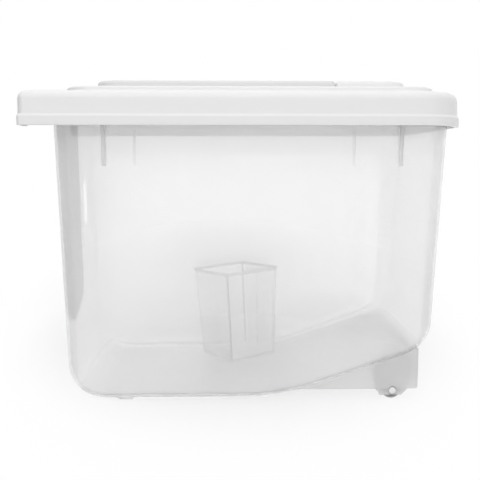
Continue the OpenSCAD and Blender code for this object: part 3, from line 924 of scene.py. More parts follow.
@dataclass
class Caster:
    """A small wheel on an axle in a snap-in housing, one on each side."""

    sizes: BinSizes
    # Wheel
    tread_r: float = 1.4 * MM
    tread_flat: float = 1.0 * MM
    hub_r: float = 3.8 * MM
    recess_d: float = 1.1 * MM
    # Axle
    axle_r: float = 2 * MM
    head_r: float = 3.3 * MM
    head_t: float = 2.7 * MM
    peen_r: float = 2.5 * MM
    peen_t: float = 0.8 * MM
    # Housing, its cheeks' tapered ears and its snap barbs
    housing_t: float = 2 * MM
    housing_l: float = 27.6 * MM
    housing_room: float = 4 * MM
    ear_z: float = 4 * MM
    ear_front_in: float = 2.1 * MM
    ear_rear_in: float = 5.1 * MM
    barb_d: float = 1.2 * MM
    barb_w: float = 7 * MM
    barb_h: float = 3.2 * MM
    # Clearances: at rest, round the axle and beside the wheel
    rest_gap: float = 0.3 * MM
    run_gap: float = 0.08 * MM
    side_gap: float = 0.5 * MM
    edge_r: float = 0.3 * MM

    def __post_init__(self) -> None:
        """Works out the housing's cheeks and its top from the wheel."""
        self.cheek_in = self.sizes.wheel_w / 2 + self.side_gap
        self.cheek_out = self.cheek_in + self.housing_t
        self.housing_top = 2 * self.sizes.wheel_r + self.housing_room + self.housing_t
        self.barb_z = self.housing_top - self.housing_t - self.barb_h

    def _centre(self, side: Side) -> Vector:
        """Returns the middle of the wheel on that side."""
        wheel = self.sizes.wheel
        return Vector((wheel.x, side.value * wheel.y, wheel.z))

    def _housing(self, side: Side) -> bpy.types.Object:
        """Builds the inverted channel over the wheel, with its bores and snap barbs.

        Args:
            side: the side of the bin.

        Returns:
            The housing.
        """
        c = self._centre(side)
        half, r = self.housing_l / 2, self.sizes.wheel_r
        cheek = [(c.x - half, self.housing_top), (c.x - half, r),
                 (c.x - half + self.ear_front_in, self.ear_z),
                 (c.x + half - self.ear_rear_in, self.ear_z), (c.x + half, r),
                 (c.x + half, self.housing_top)]
        name = f"caster_shell_{side.name.lower()}"
        housing = prism(name, cheek, Along.Y, c.y - self.cheek_out, 2 * self.cheek_out, self.edge_r)
        under = self.housing_top - self.housing_t
        channel = oblong((c.x - self.housing_l, -PAST), (c.x + self.housing_l, under))
        cutters = [prism("channel", channel, Along.Y, c.y - self.cheek_in, 2 * self.cheek_in),
                   rod("bore", self.axle_r + self.run_gap, self.cheek_out + PAST, c)]
        combine(housing, cutters, Joining.CUT)
        barbs = []
        for end in (-1, 1):
            face = c.x + end * half
            back = face - end * self.housing_t
            tip = face + end * self.barb_d
            outline = [(back, self.barb_z), (face, self.barb_z), (tip, self.barb_z + self.barb_h / 2),
                       (face, self.barb_z + self.barb_h), (face, self.housing_top - self.edge_r),
                       (back, self.housing_top - self.edge_r)]
            barbs.append(prism("barb", outline, Along.Y, c.y - self.barb_w / 2, self.barb_w))
        combine(housing, barbs, Joining.FUSE)
        return housing

    def _axle(self, side: Side) -> bpy.types.Object:
        """Turns the axle, its domed head outside the housing and its peened end inside.

        Args:
            side: the side of the bin.

        Returns:
            The axle.
        """
        out, head, peen = self.cheek_out, self.head_t, self.peen_t
        dome = [(self.head_r * math.cos(a), out + head / 2 * (1 + math.sin(a)))
                for a in quarter(FILLET_STEPS)[:-1]]
        profile = [(0.0, -out - peen), (self.peen_r - self.edge_r, -out - peen),
                   (self.peen_r, -out - peen + self.edge_r), (self.peen_r, -out),
                   (self.axle_r, -out), (self.axle_r, out), (self.head_r - self.edge_r, out),
                   (self.head_r, out + self.edge_r)] + dome + [(0.0, out + head)]
        turned_profile = [(radius, side.value * run) for radius, run in profile]
        return turned(f"axle_pin_{side.name.lower()}", turned_profile, self._centre(side))

    def _wheel(self, side: Side) -> bpy.types.Object:
        """Turns the wheel, with rounded treads, a recess in each face and a hub boss.

        Args:
            side: the side of the bin.

        Returns:
            The wheel.
        """
        half, r = self.sizes.wheel_w / 2, self.sizes.wheel_r
        bore = self.axle_r + self.run_gap
        recess_r = r - self.tread_r - self.tread_flat
        e = self.edge_r
        face = [(r - self.tread_r * (1 - math.cos(a)), half - self.tread_r * (1 - math.sin(a)))
                for a in quarter(FILLET_STEPS)]
        face += [(recess_r + e, half), (recess_r, half - e), (recess_r, half - self.recess_d),
                 (self.hub_r, half - self.recess_d), (self.hub_r, half - e), (self.hub_r - e, half),
                 (bore, half)]
        back = [(radius, -run) for radius, run in reversed(face)]
        return turned(f"wheel_tread_{side.name.lower()}", face + back, self._centre(side))

    def build(self, side: Side) -> list[bpy.types.Object]:
        """Builds and dresses the housing, the axle and the wheel of one side.

        Args:
            side: the side of the bin.

        Returns:
            The three pieces.
        """
        which = side.name.lower()
        rows = ((self._housing(side), HOUSING_PLASTIC, "bin", "housing_plastic", "caster_housing"),
                (self._axle(side), AXLE_STEEL, "bin", "axle_steel", "axle"),
                (self._wheel(side), WHEEL_PLASTIC, f"wheel_{which}", "wheel_plastic", "wheel"))
        for piece, finish, body, slot, node in rows:
            coat(piece, [finish.material()])
            dress(piece, body, slot, f"{node}_{which}")
        return [row[0] for row in rows]


# ---------------------------------------------------------------- lid


@dataclass
class Lid:
    """The white lift-off lid: skirt, raised deck, scoop opening, hinge lugs and rear housing."""

    sizes: BinSizes
    # Wall and the seat rib that rests on the container's rim
    lid_t: float = 2.2 * MM
    seat_h: float = 2.4 * MM
    seat_w: float = 2 * MM
    # Skirt: its band, the step over the band and its shoulder
    band_h: float = 7.3 * MM
    band_slope: float = 2.9 * MM
    band_out: float = 1.5 * MM
    skirt_lean: float = 0.6 * MM
    shoulder_r: float = 8 * MM
    # Radii of the upright corners
    lid_front_r: float = 6 * MM
    band_front_r: float = 3 * MM
    lid_rear_r: float = 45 * MM
    # Raised deck, by its places from the lid's edges
    crown_h: float = 1.4 * MM
    deck_h: float = 4.1 * MM
    deck_front: float = 33.5 * MM
    deck_rear: float = 22.6 * MM
    deck_side: float = 24.5 * MM
    deck_corner_r: float = 26 * MM
    deck_edge_r: float = 2 * MM
    deck_foot_r: float = 1.2 * MM
    # Finger cut-out in the front
    grip_side: float = 20.5 * MM
    grip_h: float = 12 * MM
    # Rear housing and flip door
    corner_r: float = 20 * MM
    edge_r: float = 3 * MM
    hinge_gap: float = 0.6 * MM
    barrel_r: float = 3 * MM
    rear_deck_l: float = 65.9 * MM
    # Hinge lugs with their bores and slots
    lug_side: float = 25 * MM
    lug_w: float = 6 * MM
    lug_r: float = 2.83 * MM
    lug_bore: float = 1.68 * MM
    snap_w: float = 2.6 * MM
    # Scoop opening and its coaming
    mouth_rear: float = 13 * MM
    mouth_margin: float = 8 * MM
    coaming_h: float = 3 * MM
    coaming_t: float = 2.2 * MM
    lip_r: float = 0.5 * MM

    def __post_init__(self) -> None:
        """Works out the levels and the outlines of the lid from its overall size."""
        s = self.sizes
        self.deck_z = s.door_z - Caster.rest_gap
        self.crown_z = self.deck_z - self.deck_h
        self.shoulder_z = self.crown_z - self.crown_h
        self.band_z = s.lid_bottom + self.band_h
        self.ceiling_z = self.shoulder_z - self.lid_t
        self.skirt_in = self.band_out + self.skirt_lean
        self.outline = Outline(-s.half_l, s.half_l, s.half_w, self.band_front_r, self.lid_rear_r)
        self.deck = Outline(-s.half_l + self.deck_front, s.half_l - self.deck_rear,
                            s.half_w - self.deck_side, self.deck_corner_r, self.deck_corner_r)
        start = s.hinge.x + self.barrel_r + self.hinge_gap
        self.housing = Outline(start, start + self.rear_deck_l, s.door_y, self.edge_r, self.corner_r)
        self.lug_y = s.door_y - self.lug_side

    def _upper_ring(self, z: float, t: float, corner_r: float | None = None) -> Ring:
        """Returns a ring of the outside above the band.

        Args:
            z: its height.
            t: inset at the sides and the rear; the front is flush up to the shoulder.
            corner_r: radius of the front corners, that of the skirt if it isn't given.

        Returns:
            The ring.
        """
        ahead = max(t - self.skirt_in, 0.0)
        radius = max(self.lid_front_r - ahead, LEAST_R) if corner_r is None else corner_r
        inner = self.outline.inset(t, ahead)
        return Outline(inner.front, inner.rear, inner.half_w, radius, inner.rear_r).ring(z)

    def _outer_rings(self) -> list[Ring]:
        """Returns the rings of the outside, from the skirt's lower edge up to the deck.

        Returns:
            The rings, from the lowest up.
        """
        bottom = self.sizes.lid_bottom
        rings = [self.outline.inset(self.lip_r * (1 - math.sin(a))).ring(
            bottom + self.lip_r * (1 - math.cos(a))) for a in quarter(EDGE_STEPS)]
        rings.append(self.outline.ring(self.band_z))
        for i in range(1, FILLET_STEPS + 1):
            part = i / FILLET_STEPS
            ease = part * part * (3 - 2 * part)
            corner = self.band_front_r + (self.lid_front_r - self.band_front_r) * ease
            rings.append(self._upper_ring(self.band_z + self.band_slope * part,
                                          self.band_out * ease, corner))
        for a in quarter(FILLET_STEPS):
            rings.append(self._upper_ring(self.shoulder_z - self.shoulder_r * (1 - math.sin(a)),
                                          self.skirt_in + self.shoulder_r * (1 - math.cos(a))))
        foot = self.deck_foot_r
        for a in quarter(EDGE_STEPS):
            rings.append(self.deck.inset(-foot * (1 - math.sin(a))).ring(
                self.crown_z + foot * (1 - math.cos(a))))
        for a in quarter(FILLET_STEPS):
            rings.append(self.deck.inset(self.deck_edge_r * (1 - math.cos(a))).ring(
                self.deck_z - self.deck_edge_r * (1 - math.sin(a))))
        return rings

    def _inner_rings(self) -> list[Ring]:
        """Returns the rings of the underside, from the deck's hollow to the skirt's lower edge.

        Returns:
            The rings, from the highest down.
        """
        face = self.skirt_in + self.lid_t
        curve = self.shoulder_r - self.lid_t
        seat_in = face + curve
        seat_z = self.ceiling_z - self.seat_h
        rings = [self.deck.inset(self.lid_t).ring(self.deck_z - self.lid_t),
                 self.deck.inset(self.lid_t).ring(self.crown_z - self.lid_t),
                 self.outline.inset(seat_in).ring(self.ceiling_z),
                 self.outline.inset(seat_in).ring(seat_z),
                 self.outline.inset(seat_in - self.seat_w).ring(seat_z)]
        widest = math.acos(self.seat_w / curve)
        for i in range(FILLET_STEPS, -1, -1):
            a = widest * i / FILLET_STEPS
            rings.append(self.outline.inset(face + curve * (1 - math.cos(a))).ring(
                self.ceiling_z - curve * (1 - math.sin(a))))
        rings.append(self.outline.inset(face).ring(self.sizes.lid_bottom))
        return rings

    def _rear_housing(self, name: str, low: float, t: float) -> bpy.types.Object:
        """Builds the raised housing behind the door, or its hollow.

        Args:
            name: name of the object.
            low: its lowest level.
            t: inset, 0 for its outside and the lid's thickness for its hollow.

        Returns:
            The solid.
        """
        r = self.edge_r - t / 2
        rings = [self.housing.inset(t).ring(low)]
        for a in quarter(FILLET_STEPS):
            rings.append(self.housing.inset(t + r * (1 - math.cos(a))).ring(
                self.sizes.top - t - r * (1 - math.sin(a))))
        return ring_stack(name, rings)

    def _mouth(self, t: float) -> Outline:
        """Returns the scoop opening, grown by t."""
        r = self.corner_r - self.mouth_margin + t
        return Outline(self.sizes.door_front + self.mouth_margin - t,
                       self.sizes.hinge.x - self.mouth_rear + t,
                       self.sizes.door_y - self.mouth_margin + t, r, r)

    def _coaming(self) -> bpy.types.Object:
        """Builds the low wall round the scoop opening, still without its hole.

        Returns:
            The coaming.
        """
        outer = self._mouth(self.coaming_t)
        top = self.deck_z + self.coaming_h
        rings = [outer.ring(self.deck_z - BOND)]
        for a in quarter(EDGE_STEPS):
            rings.append(outer.inset(self.lip_r * (1 - math.cos(a))).ring(
                top - self.lip_r * (1 - math.sin(a))))
        return ring_stack("coaming", rings)

    def _mouth_cutter(self) -> bpy.types.Object:
        """Builds the cutter of the scoop opening, flared round the coaming's upper edge.

        Returns:
            The cutter.
        """
        inner = self._mouth(0.0)
        top = self.deck_z + self.coaming_h
        rings = [inner.ring(self.ceiling_z - PAST)]
        for a in quarter(EDGE_STEPS):
            rings.append(inner.inset(-self.lip_r * (1 - math.cos(a))).ring(
                top - self.lip_r * (1 - math.sin(a))))
        rings.append(inner.inset(-self.lip_r).ring(self.sizes.top))
        return ring_stack("mouth_cutter", rings)

    def _lug(self, side: Side) -> bpy.types.Object:
        """Builds a lug that a hinge pin snaps into, with its bore and slot.

        Args:
            side: the side of the bin.

        Returns:
            The lug.
        """
        hinge = self.sizes.hinge
        low = self.deck_z - BOND
        outline = [(hinge.x + self.lug_r, low)]
        for i in range(2 * FILLET_STEPS + 1):
            a = math.pi * i / (2 * FILLET_STEPS)
            outline.append((hinge.x + self.lug_r * math.cos(a), hinge.z + self.lug_r * math.sin(a)))
        outline.append((hinge.x - self.lug_r, low))
        middle = side.value * self.lug_y
        lug = prism("lug", outline, Along.Y, middle - self.lug_w / 2, self.lug_w)
        reach = self.lug_w / 2 + PAST
        half = self.snap_w / 2
        slot = oblong((hinge.x - half, hinge.z), (hinge.x + half, hinge.z + self.lug_r + PAST))
        combine(lug, [rod("lug_bore", self.lug_bore, reach, Vector((hinge.x, middle, hinge.z))),
                      prism("lug_slot", slot, Along.Y, middle - reach, 2 * reach)], Joining.CUT)
        return lug

    def _grip_cutter(self) -> bpy.types.Object:
        """Builds the cutter of the arched finger cut-out in the front skirt.

        Returns:
            The cutter.
        """
        half = self.sizes.half_w - self.grip_side
        bottom = self.sizes.lid_bottom
        outline = []
        for a in quarter(FILLET_STEPS):
            outline.append((half - self.grip_h * (1 - math.cos(a)), bottom + self.grip_h * math.sin(a)))
        outline += [(-y, z) for y, z in reversed(outline)]
        outline += [(-half, bottom - PAST), (half, bottom - PAST)]
        depth = self.skirt_in + self.lid_t + 2 * PAST
        return prism("grip_cutter", outline, Along.X, -self.sizes.half_l - PAST, depth)

    def build(self) -> bpy.types.Object:
        """Moulds the lid in one piece.

        Returns:
            The lid.
        """
        lid = ring_stack("lid_cover", self._inner_rings() + self._outer_rings())
        additions = [self._rear_housing("rear_housing", self.deck_z - BOND, 0.0), self._coaming()]
        combine(lid, additions, Joining.FUSE)
        cutters = [self._rear_housing("housing_hollow", self.ceiling_z - PAST, self.lid_t),
                   self._mouth_cutter(), self._grip_cutter()]
        combine(lid, cutters, Joining.CUT)
        combine(lid, [self._lug(side) for side in Side], Joining.FUSE)
        coat(lid, [WHITE_PLASTIC.material()])
        dress(lid, "lid", "lid_plastic", "lid")
        return lid


# ---------------------------------------------------------------- flip door


@dataclass
class FlipDoor:
    """The flip door: a shallow pan with a hinge barrel at its rear and a finger tab in front."""

    sizes: BinSizes
    lid: Lid
    # Plate, room round the lugs and hinge pins
    door_t: float = 2 * MM
    side_gap: float = 0.5 * MM
    pin_r: float = 1.6 * MM
    # Finger tab
    tab_w: float = 46 * MM
    tab_l: float = 9.5 * MM
    tab_rise: float = 2.2 * MM
    tab_r: float = 4.5 * MM
    tab_steps: int = 6

    def _ring(self, z: float, t: float, rear: float) -> Ring:
        """Returns a ring of the door inset by t, its rear end kept at rear."""
        s = self.sizes
        return Outline(s.door_front + t, rear, s.door_y - t, self.lid.corner_r - t, LEAST_R).ring(z)

    def _pan(self) -> bpy.types.Object:
        """Skins the door from its hollow underside to its rounded top.

        Returns:
            The door without its barrel, pins and tab.
        """
        s, edge = self.sizes, self.lid.edge_r
        hollow_end = s.hinge.x - self.lid.lug_r - self.side_gap - self.door_t
        lip = self.lid.lip_r
        rings = [self._ring(s.top - self.door_t, self.door_t, hollow_end),
                 self._ring(s.door_z, self.door_t, hollow_end)]
        rings += [self._ring(s.door_z + lip * (1 - math.cos(a)), lip * (1 - math.sin(a)), s.hinge.x)
                  for a in quarter(EDGE_STEPS)]
        rings += [self._ring(s.top - edge * (1 - math.sin(a)), edge * (1 - math.cos(a)), s.hinge.x)
                  for a in quarter(FILLET_STEPS)]
        return ring_stack("flip_door", rings)

    def _hinge_rod(self, name: str, radius: float, half: float) -> bpy.types.Object:
        """Builds a rod along the hinge's axis, so long on each side."""
        return rod(name, radius, half, Vector((self.sizes.hinge.x, 0.0, self.sizes.hinge.z)))

    def _notch(self, side: Side) -> bpy.types.Object:
        """Builds the cutter of the room for a hinge lug.

        Args:
            side: the side of the bin.

        Returns:
            The cutter.
        """
        hinge = self.sizes.hinge
        reach = self.lid.lug_r + self.side_gap
        outline = oblong((hinge.x - reach, self.sizes.door_z - PAST),
                         (hinge.x + reach, self.sizes.top + PAST))
        half = self.lid.lug_w / 2 + self.side_gap
        return prism("lug_room", outline, Along.Y, side.value * self.lid.lug_y - half, 2 * half)

    def _tab(self) -> bpy.types.Object:
        """Builds the finger tab, a plate that curls up from the door's lower edge.

        Returns:
            The tab.
        """
        s = self.sizes
        tip = s.door_front - self.tab_l
        root = s.door_front + self.door_t
        half = self.tab_w / 2
        outline = [(root, half - self.door_t), (s.door_front, half - LEAST_R)]
        for a in quarter(self.tab_steps):
            outline.append((tip + self.tab_r * (1 - math.sin(a)), half - self.tab_r * (1 - math.cos(a))))
        outline += [(x, -y) for x, y in reversed(outline)]
        tab = prism("finger_tab", outline, Along.Z, s.door_z, self.door_t, self.lid.lip_r)
        shape = bmesh.new()
        shape.from_mesh(tab.data)
        slices = [s.door_front - self.tab_l * i / self.tab_steps for i in range(self.tab_steps)]
        for x in slices:
            bmesh.ops.bisect_plane(shape, geom=shape.verts[:] + shape.edges[:] + shape.faces[:],
                                   plane_co=(x, 0, 0), plane_no=(1, 0, 0))
        for vert in shape.verts:
            along = max(s.door_front - vert.co.x, 0.0) / self.tab_l
            vert.co.z += self.tab_rise * along
        shape.to_mesh(tab.data)
        shape.free()
        return tab

    def build(self) -> bpy.types.Object:
        """Moulds the door with its barrel, pins and tab in one piece.

        Returns:
            The door.
        """
        half = self.sizes.door_y - self.lid.edge_r
        door = self._pan()
        combine(door, [self._hinge_rod("barrel", self.lid.barrel_r, half)], Joining.FUSE)
        combine(door, [self._notch(side) for side in Side], Joining.CUT)
        combine(door, [self._hinge_rod("pins", self.pin_r, half - BOND), self._tab()], Joining.FUSE)
        coat(door, [DOOR_PLASTIC.material()])
        dress(door, "flip_lid", "door_plastic", "flip_lid")
        return door


# ---------------------------------------------------------------- cup


@dataclass
class MeasuringCup:
    """The loose square cup, which leans a little where the floor starts to climb."""

    sizes: BinSizes
    container: Container
    # Widths at the foot and the mouth, height, wall and rounds
    base: float = 61 * MM
    mouth: float = 69 * MM
    height: float = 98 * MM
    wall_t: float = 1.6 * MM
    corner_r: float = 6 * MM
    foot_r: float = 3 * MM
    bead: float = 1 * MM
    # Turn on the floor in degrees, and gaps to the floor's bend, the wall and the floor
    turn: float = 33.0
    bend_gap: float = 34.8 * MM
    wall_gap: float = 7.2 * MM
    rest_gap: float = 0.3 * MM
    # Faces that look so far along both axes are the cup's corners, which take the painted dark edge
    edge_part: float = 0.55

    def _ring(self, z: float, t: float) -> Ring:
        """Returns the ring at height z up the cup's axis, out from the leaning wall by t.

        Args:
            z: height up the cup's axis.
            t: distance out from the wall.

        Returns:
            The ring.
        """
        half = self.base / 2 + (self.mouth - self.base) / 2 * z / self.height + t
        r = self.corner_r + t
        return Outline(-half, half, half, r, r).ring(z)

    def _shell(self) -> bpy.types.Object:
        """Skins the cup from its underside, over the bead, to its inside.

        Returns:
            The cup, upright round the axis of height.
        """
        t, r, top = self.wall_t, self.foot_r, self.height
        bead_r = self.bead / 2
        rings = [self._ring(r * (1 - math.cos(a)), -r * (1 - math.sin(a))) for a in quarter(FILLET_STEPS)]
        rings += [self._ring(top - 2 * t, 0.0), self._ring(top - 2 * t, self.bead)]
        rings += [self._ring(top - bead_r * (1 - math.sin(a)), self.bead - bead_r * (1 - math.cos(a)))
                  for a in quarter(EDGE_STEPS)]
        rings.append(self._ring(top, -t))
        rings += [self._ring(t + r * (1 - math.cos(a)), -t - r * (1 - math.sin(a)))
                  for a in reversed(quarter(FILLET_STEPS))]
        return ring_stack("scoop_cup", rings)

    def build(self) -> bpy.types.Object:
        """Moulds the cup and stands it askew on the floor, beside the right-hand wall.

        Returns:
            The cup.
        """
        tub = self.container
        angle = math.radians(self.turn)
        half = self.base / 2 - self.corner_r
        span = half * (math.cos(angle) + math.sin(angle)) + self.corner_r
        reach = half * math.sqrt(2) * math.cos(math.pi / 4 - angle) + self.corner_r - self.foot_r
        x = self.sizes.half_l - tub.bend_rear - self.bend_gap
        y = tub.base.half_w - self.wall_gap - span
        front, rear = tub.floor_z(x - reach), tub.floor_z(x + reach)
        tilt = math.atan((rear - front) / (2 * reach))
        cup = self._shell()
        coat(cup, [zone.value.material() for zone in CupZone])
        # Corner and rim faces take the painted dark edge
        for face in cup.data.polygons:
            x_part, y_part, _ = map(abs, face.normal)
            if min(x_part, y_part) > self.edge_part or face.center.z > self.height - 2 * self.wall_t:
                face.material_index = CupZone.EDGE.place
        cup.data.transform(Matrix.Translation((x, y, (front + rear) / 2 + tub.wall_t + self.rest_gap))
                           @ Matrix.Rotation(-tilt, 4, "Y") @ Matrix.Rotation(angle, 4, "Z"))
        dress(cup, "cup", "cup_plastic", "measuring_cup")
        return cup


# ---------------------------------------------------------------- studio


@dataclass(frozen=True)
class Lamp:
    """A soft rectangular lamp that looks at its aim, and shows in the gloss if it is mirrored."""

    name: str
    place: tuple[float, float, float]
    aim: tuple[float, float, float]
    width: float
    height: float
    watts: float
    mirrored: bool = False

    def hang(self) -> bpy.types.Object:
        """Puts the lamp in the scene and turns it to its aim.

        Returns:
            The lamp.
        """
        data = bpy.data.lights.new(self.name, "AREA")
        data.shape = "RECTANGLE"
        data.size = self.width
        data.size_y = self.height
        data.energy = self.watts
        lamp = bpy.data.objects.new(self.name, data)
        lamp.location = self.place
        lamp.rotation_euler = (Vector(self.aim) - Vector(self.place)).to_track_quat("-Z", "Y").to_euler()
        lamp.visible_camera = False
        lamp.visible_glossy = self.mirrored
        bpy.context.scene.collection.objects.link(lamp)
        return lamp


@dataclass(frozen=True)
class Card:
    """A tall card on the floor, seen only in the gloss of the plastic and through its haze.

    It stands on the line from start to end, and its tone wanders by the share mottle.
    """

    name: str
    start: tuple[float, float]
    end: tuple[float, float]
    tone: float
    mottle: float = 0.1
    roughness: float = 0.9
    height: float = 0.4

    def stand(self) -> bpy.types.Object:
        """Stands the card in the scene and gives it a weave of its tone.

        Returns:
            The card.
        """
        shape = bmesh.new()
        corners = [(*self.start, PAST), (*self.end, PAST), (*self.end, self.height),
                   (*self.start, self.height)]
        shape.faces.new([shape.verts.new(corner) for corner in corners])
        card = new_object(self.name, shape)
        finish = Finish(self.name, self.tone, mottle=self.mottle, roughness=self.roughness)
        card.data.materials.append(finish.material())
        card.visible_camera = False
        card.visible_diffuse = False
        card.visible_shadow = False
        return card


@dataclass(frozen=True)
class Shade:
    """An oval of painted shadow on the floor behind the bin, where the floor turns from white to its own
    tone.

    Its middle is at y. Up to the share full of its half sizes it is at its darkest, and at the
    share gone it has faded out.
    """

    y: float
    half_l: float
    half_w: float
    full: float
    gone: float

    def white(self, nodes: bpy.types.Nodes, links: bpy.types.NodeLinks, least: float
              ) -> bpy.types.NodeSocket:
        """Adds the nodes that give the share of white at each place on the floor.

        Args:
            nodes: the floor material's nodes.
            links: their links.
            least: the share in the middle of the oval.

        Returns:
            The socket that carries the share, which is 1 outside the oval.
        """
        place = nodes.new("ShaderNodeTexCoord")
        shrink = nodes.new("ShaderNodeMapping")
        shrink.inputs["Scale"].default_value = (1 / self.half_l, 1 / self.half_w, 1.0)
        shrink.inputs["Location"].default_value = (0.0, -self.y / self.half_w, 0.0)
        links.new(place.outputs["Object"], shrink.inputs["Vector"])
        away = nodes.new("ShaderNodeVectorMath")
        away.operation = "LENGTH"
        links.new(shrink.outputs["Vector"], away.inputs[0])
        fade = nodes.new("ShaderNodeMapRange")
        fade.interpolation_type = "SMOOTHSTEP"
        fade.inputs["From Min"].default_value = self.full
        fade.inputs["From Max"].default_value = self.gone
        fade.inputs["To Min"].default_value = least
        links.new(away.outputs["Value"], fade.inputs["Value"])
        return fade.outputs["Result"]


@dataclass
class Studio:
    """A pale floor, a white background, five soft lamps and two cards.

    The floor lights the bin with floor_tone and is seen with floor_seen_tone, under a white glow
    that falls to floor_white in the shades, ovals of painted shadow behind the bin. The sky is
    white to look at, and lights the bin from each side with a level of its own.
    """

    # Floor
    floor_half: float = 3.0
    floor_tone: float = 0.8
    floor_drift: float = 0.01
    floor_patches: float = 6.0
    floor_roughness: float = 0.9
    floor_seen_tone: float = 0.85
    floor_white: float = 0.3
    # Ovals of painted shadow behind the bin: darker floor that is seen through the bin's lower body
    shades: tuple[Shade, Shade] = (Shade(y=0.3, half_l=0.2, half_w=0.35, full=0.5, gone=1.6),
                                   Shade(y=0.85, half_l=0.28, half_w=0.85, full=0.0, gone=1.45))
    # Sky
    sky_white: float = 1.0
    sky_front: float = 0.3
    sky_rear: float = 0.43
    sky_left: float = 0.43
    sky_right: float = 0.78
    sky_top: float = 0.48
    see_through_steps: int = 32
    lamps: tuple[Lamp, ...] = (
        Lamp("key_lamp", (-0.05, -0.8, 1.0), (0.0, 0.0, 0.15), width=0.9, height=0.6, watts=3.3),
        Lamp("fill_lamp", (-0.15, -0.9, 0.35), (0.0, 0.0, 0.15), width=0.9, height=0.6, watts=0.65),
        Lamp("right_lamp", (0.8, -0.8, 0.5), (0.0, 0.0, 0.15), width=0.6, height=0.6, watts=0.5),
        Lamp("top_lamp", (0.0, 0.0, 1.3), (0.0, 0.0, 0.2), width=1.2, height=1.0, watts=3.4),
        Lamp("edge_lamp", (-0.42, -0.8, 0.09), (-0.155, -0.1, 0.09), width=0.13, height=0.08,
             watts=0.02, mirrored=True),
    )
    cards: tuple[Card, ...] = (
        Card("front_card", start=(-0.418, -0.454), end=(-0.453, 0.044), tone=0.4),
        Card("rear_card", start=(-0.453, 0.044), end=(-0.35, 0.8), tone=0.6),
    )

    @staticmethod
    def _seen(nodes: bpy.types.Nodes, links: bpy.types.NodeLinks) -> bpy.types.NodeSocket:
        """Adds nodes that tell a look from the light that falls on the bin.

        Args:
            nodes: nodes of the floor's material or of the world.
            links: their links.

        Returns:
            The socket that gives 1 to the eye, a reflection or a look through haze, and 0 else.
        """
        path = nodes.new("ShaderNodeLightPath")
        either = nodes.new("ShaderNodeMath")
        either.operation = "MAXIMUM"
        links.new(path.outputs["Is Camera Ray"], either.inputs[0])
        links.new(path.outputs["Is Glossy Ray"], either.inputs[1])
        any_of = nodes.new("ShaderNodeMath")
        any_of.operation = "MAXIMUM"
        links.new(either.outputs[0], any_of.inputs[0])
        links.new(path.outputs["Is Transmission Ray"], any_of.inputs[1])
        return any_of.outputs[0]

    def _floor_glow(self, nodes: bpy.types.Nodes, links: bpy.types.NodeLinks,
                    seen: bpy.types.NodeSocket) -> bpy.types.NodeSocket:
        """Adds the nodes that give the floor's share of white glow.

        Args:
            nodes: nodes of the floor's material.
            links: their links.
            seen: the socket that gives 1 to a look and 0 to light.

        Returns:
            The socket of the share, 0 for the light that the floor throws on the bin.
        """
        lesser = nodes.new("ShaderNodeMath")
        lesser.operation = "MINIMUM"
        for socket, shade in zip(lesser.inputs, self.shades):
            links.new(shade.white(nodes, links, self.floor_white), socket)
        share = nodes.new("ShaderNodeMath")
        share.operation = "MULTIPLY"
        links.new(seen, share.inputs[0])
        links.new(lesser.outputs["Value"], share.inputs[1])
        return share.outputs["Value"]

    def _floor_material(self) -> bpy.types.Material:
        """Builds the floor's material, near white to look at and still dark in a shadow.

        Returns:
            The material.
        """
        material = bpy.data.materials.new("studio_floor")
        material.use_nodes = True
        nodes, links = material.node_tree.nodes, material.node_tree.links
        shader = nodes["Principled BSDF"]
        shader.inputs["Roughness"].default_value = self.floor_roughness
        shader.inputs["Specular IOR Level"].default_value = 0.0
        patches = nodes.new("ShaderNodeTexNoise")
        patches.inputs["Scale"].default_value = self.floor_patches
        tone = nodes.new("ShaderNodeMapRange")
        tone.inputs["To Min"].default_value = self.floor_tone - self.floor_drift
        tone.inputs["To Max"].default_value = self.floor_tone + self.floor_drift
        links.new(patches.outputs["Fac"], tone.inputs["Value"])
        seen = self._seen(nodes, links)
        colour = nodes.new("ShaderNodeMix")
        colour.data_type = "FLOAT"
        colour.inputs["B"].default_value = self.floor_seen_tone
        links.new(seen, colour.inputs["Factor"])
        links.new(tone.outputs["Result"], colour.inputs["A"])
        links.new(colour.outputs["Result"], shader.inputs["Base Color"])
        glow = nodes.new("ShaderNodeEmission")
        glow.inputs["Strength"].default_value = self.sky_white
        mix = nodes.new("ShaderNodeMixShader")
        links.new(self._floor_glow(nodes, links, seen), mix.inputs["Fac"])
        links.new(shader.outputs["BSDF"], mix.inputs[1])
        links.new(glow.outputs["Emission"], mix.inputs[2])
        links.new(mix.outputs["Shader"], nodes["Material Output"].inputs["Surface"])
        return material

    def _floor(self) -> None:
        """Lays the floor round the origin."""
        shape = bmesh.new()
        half = self.floor_half
        corners = oblong((-half, -half), (half, half))
        shape.faces.new([shape.verts.new((x, y, 0.0)) for x, y in corners])
        floor = new_object("studio_floor", shape)
        floor.data.materials.append(self._floor_material())

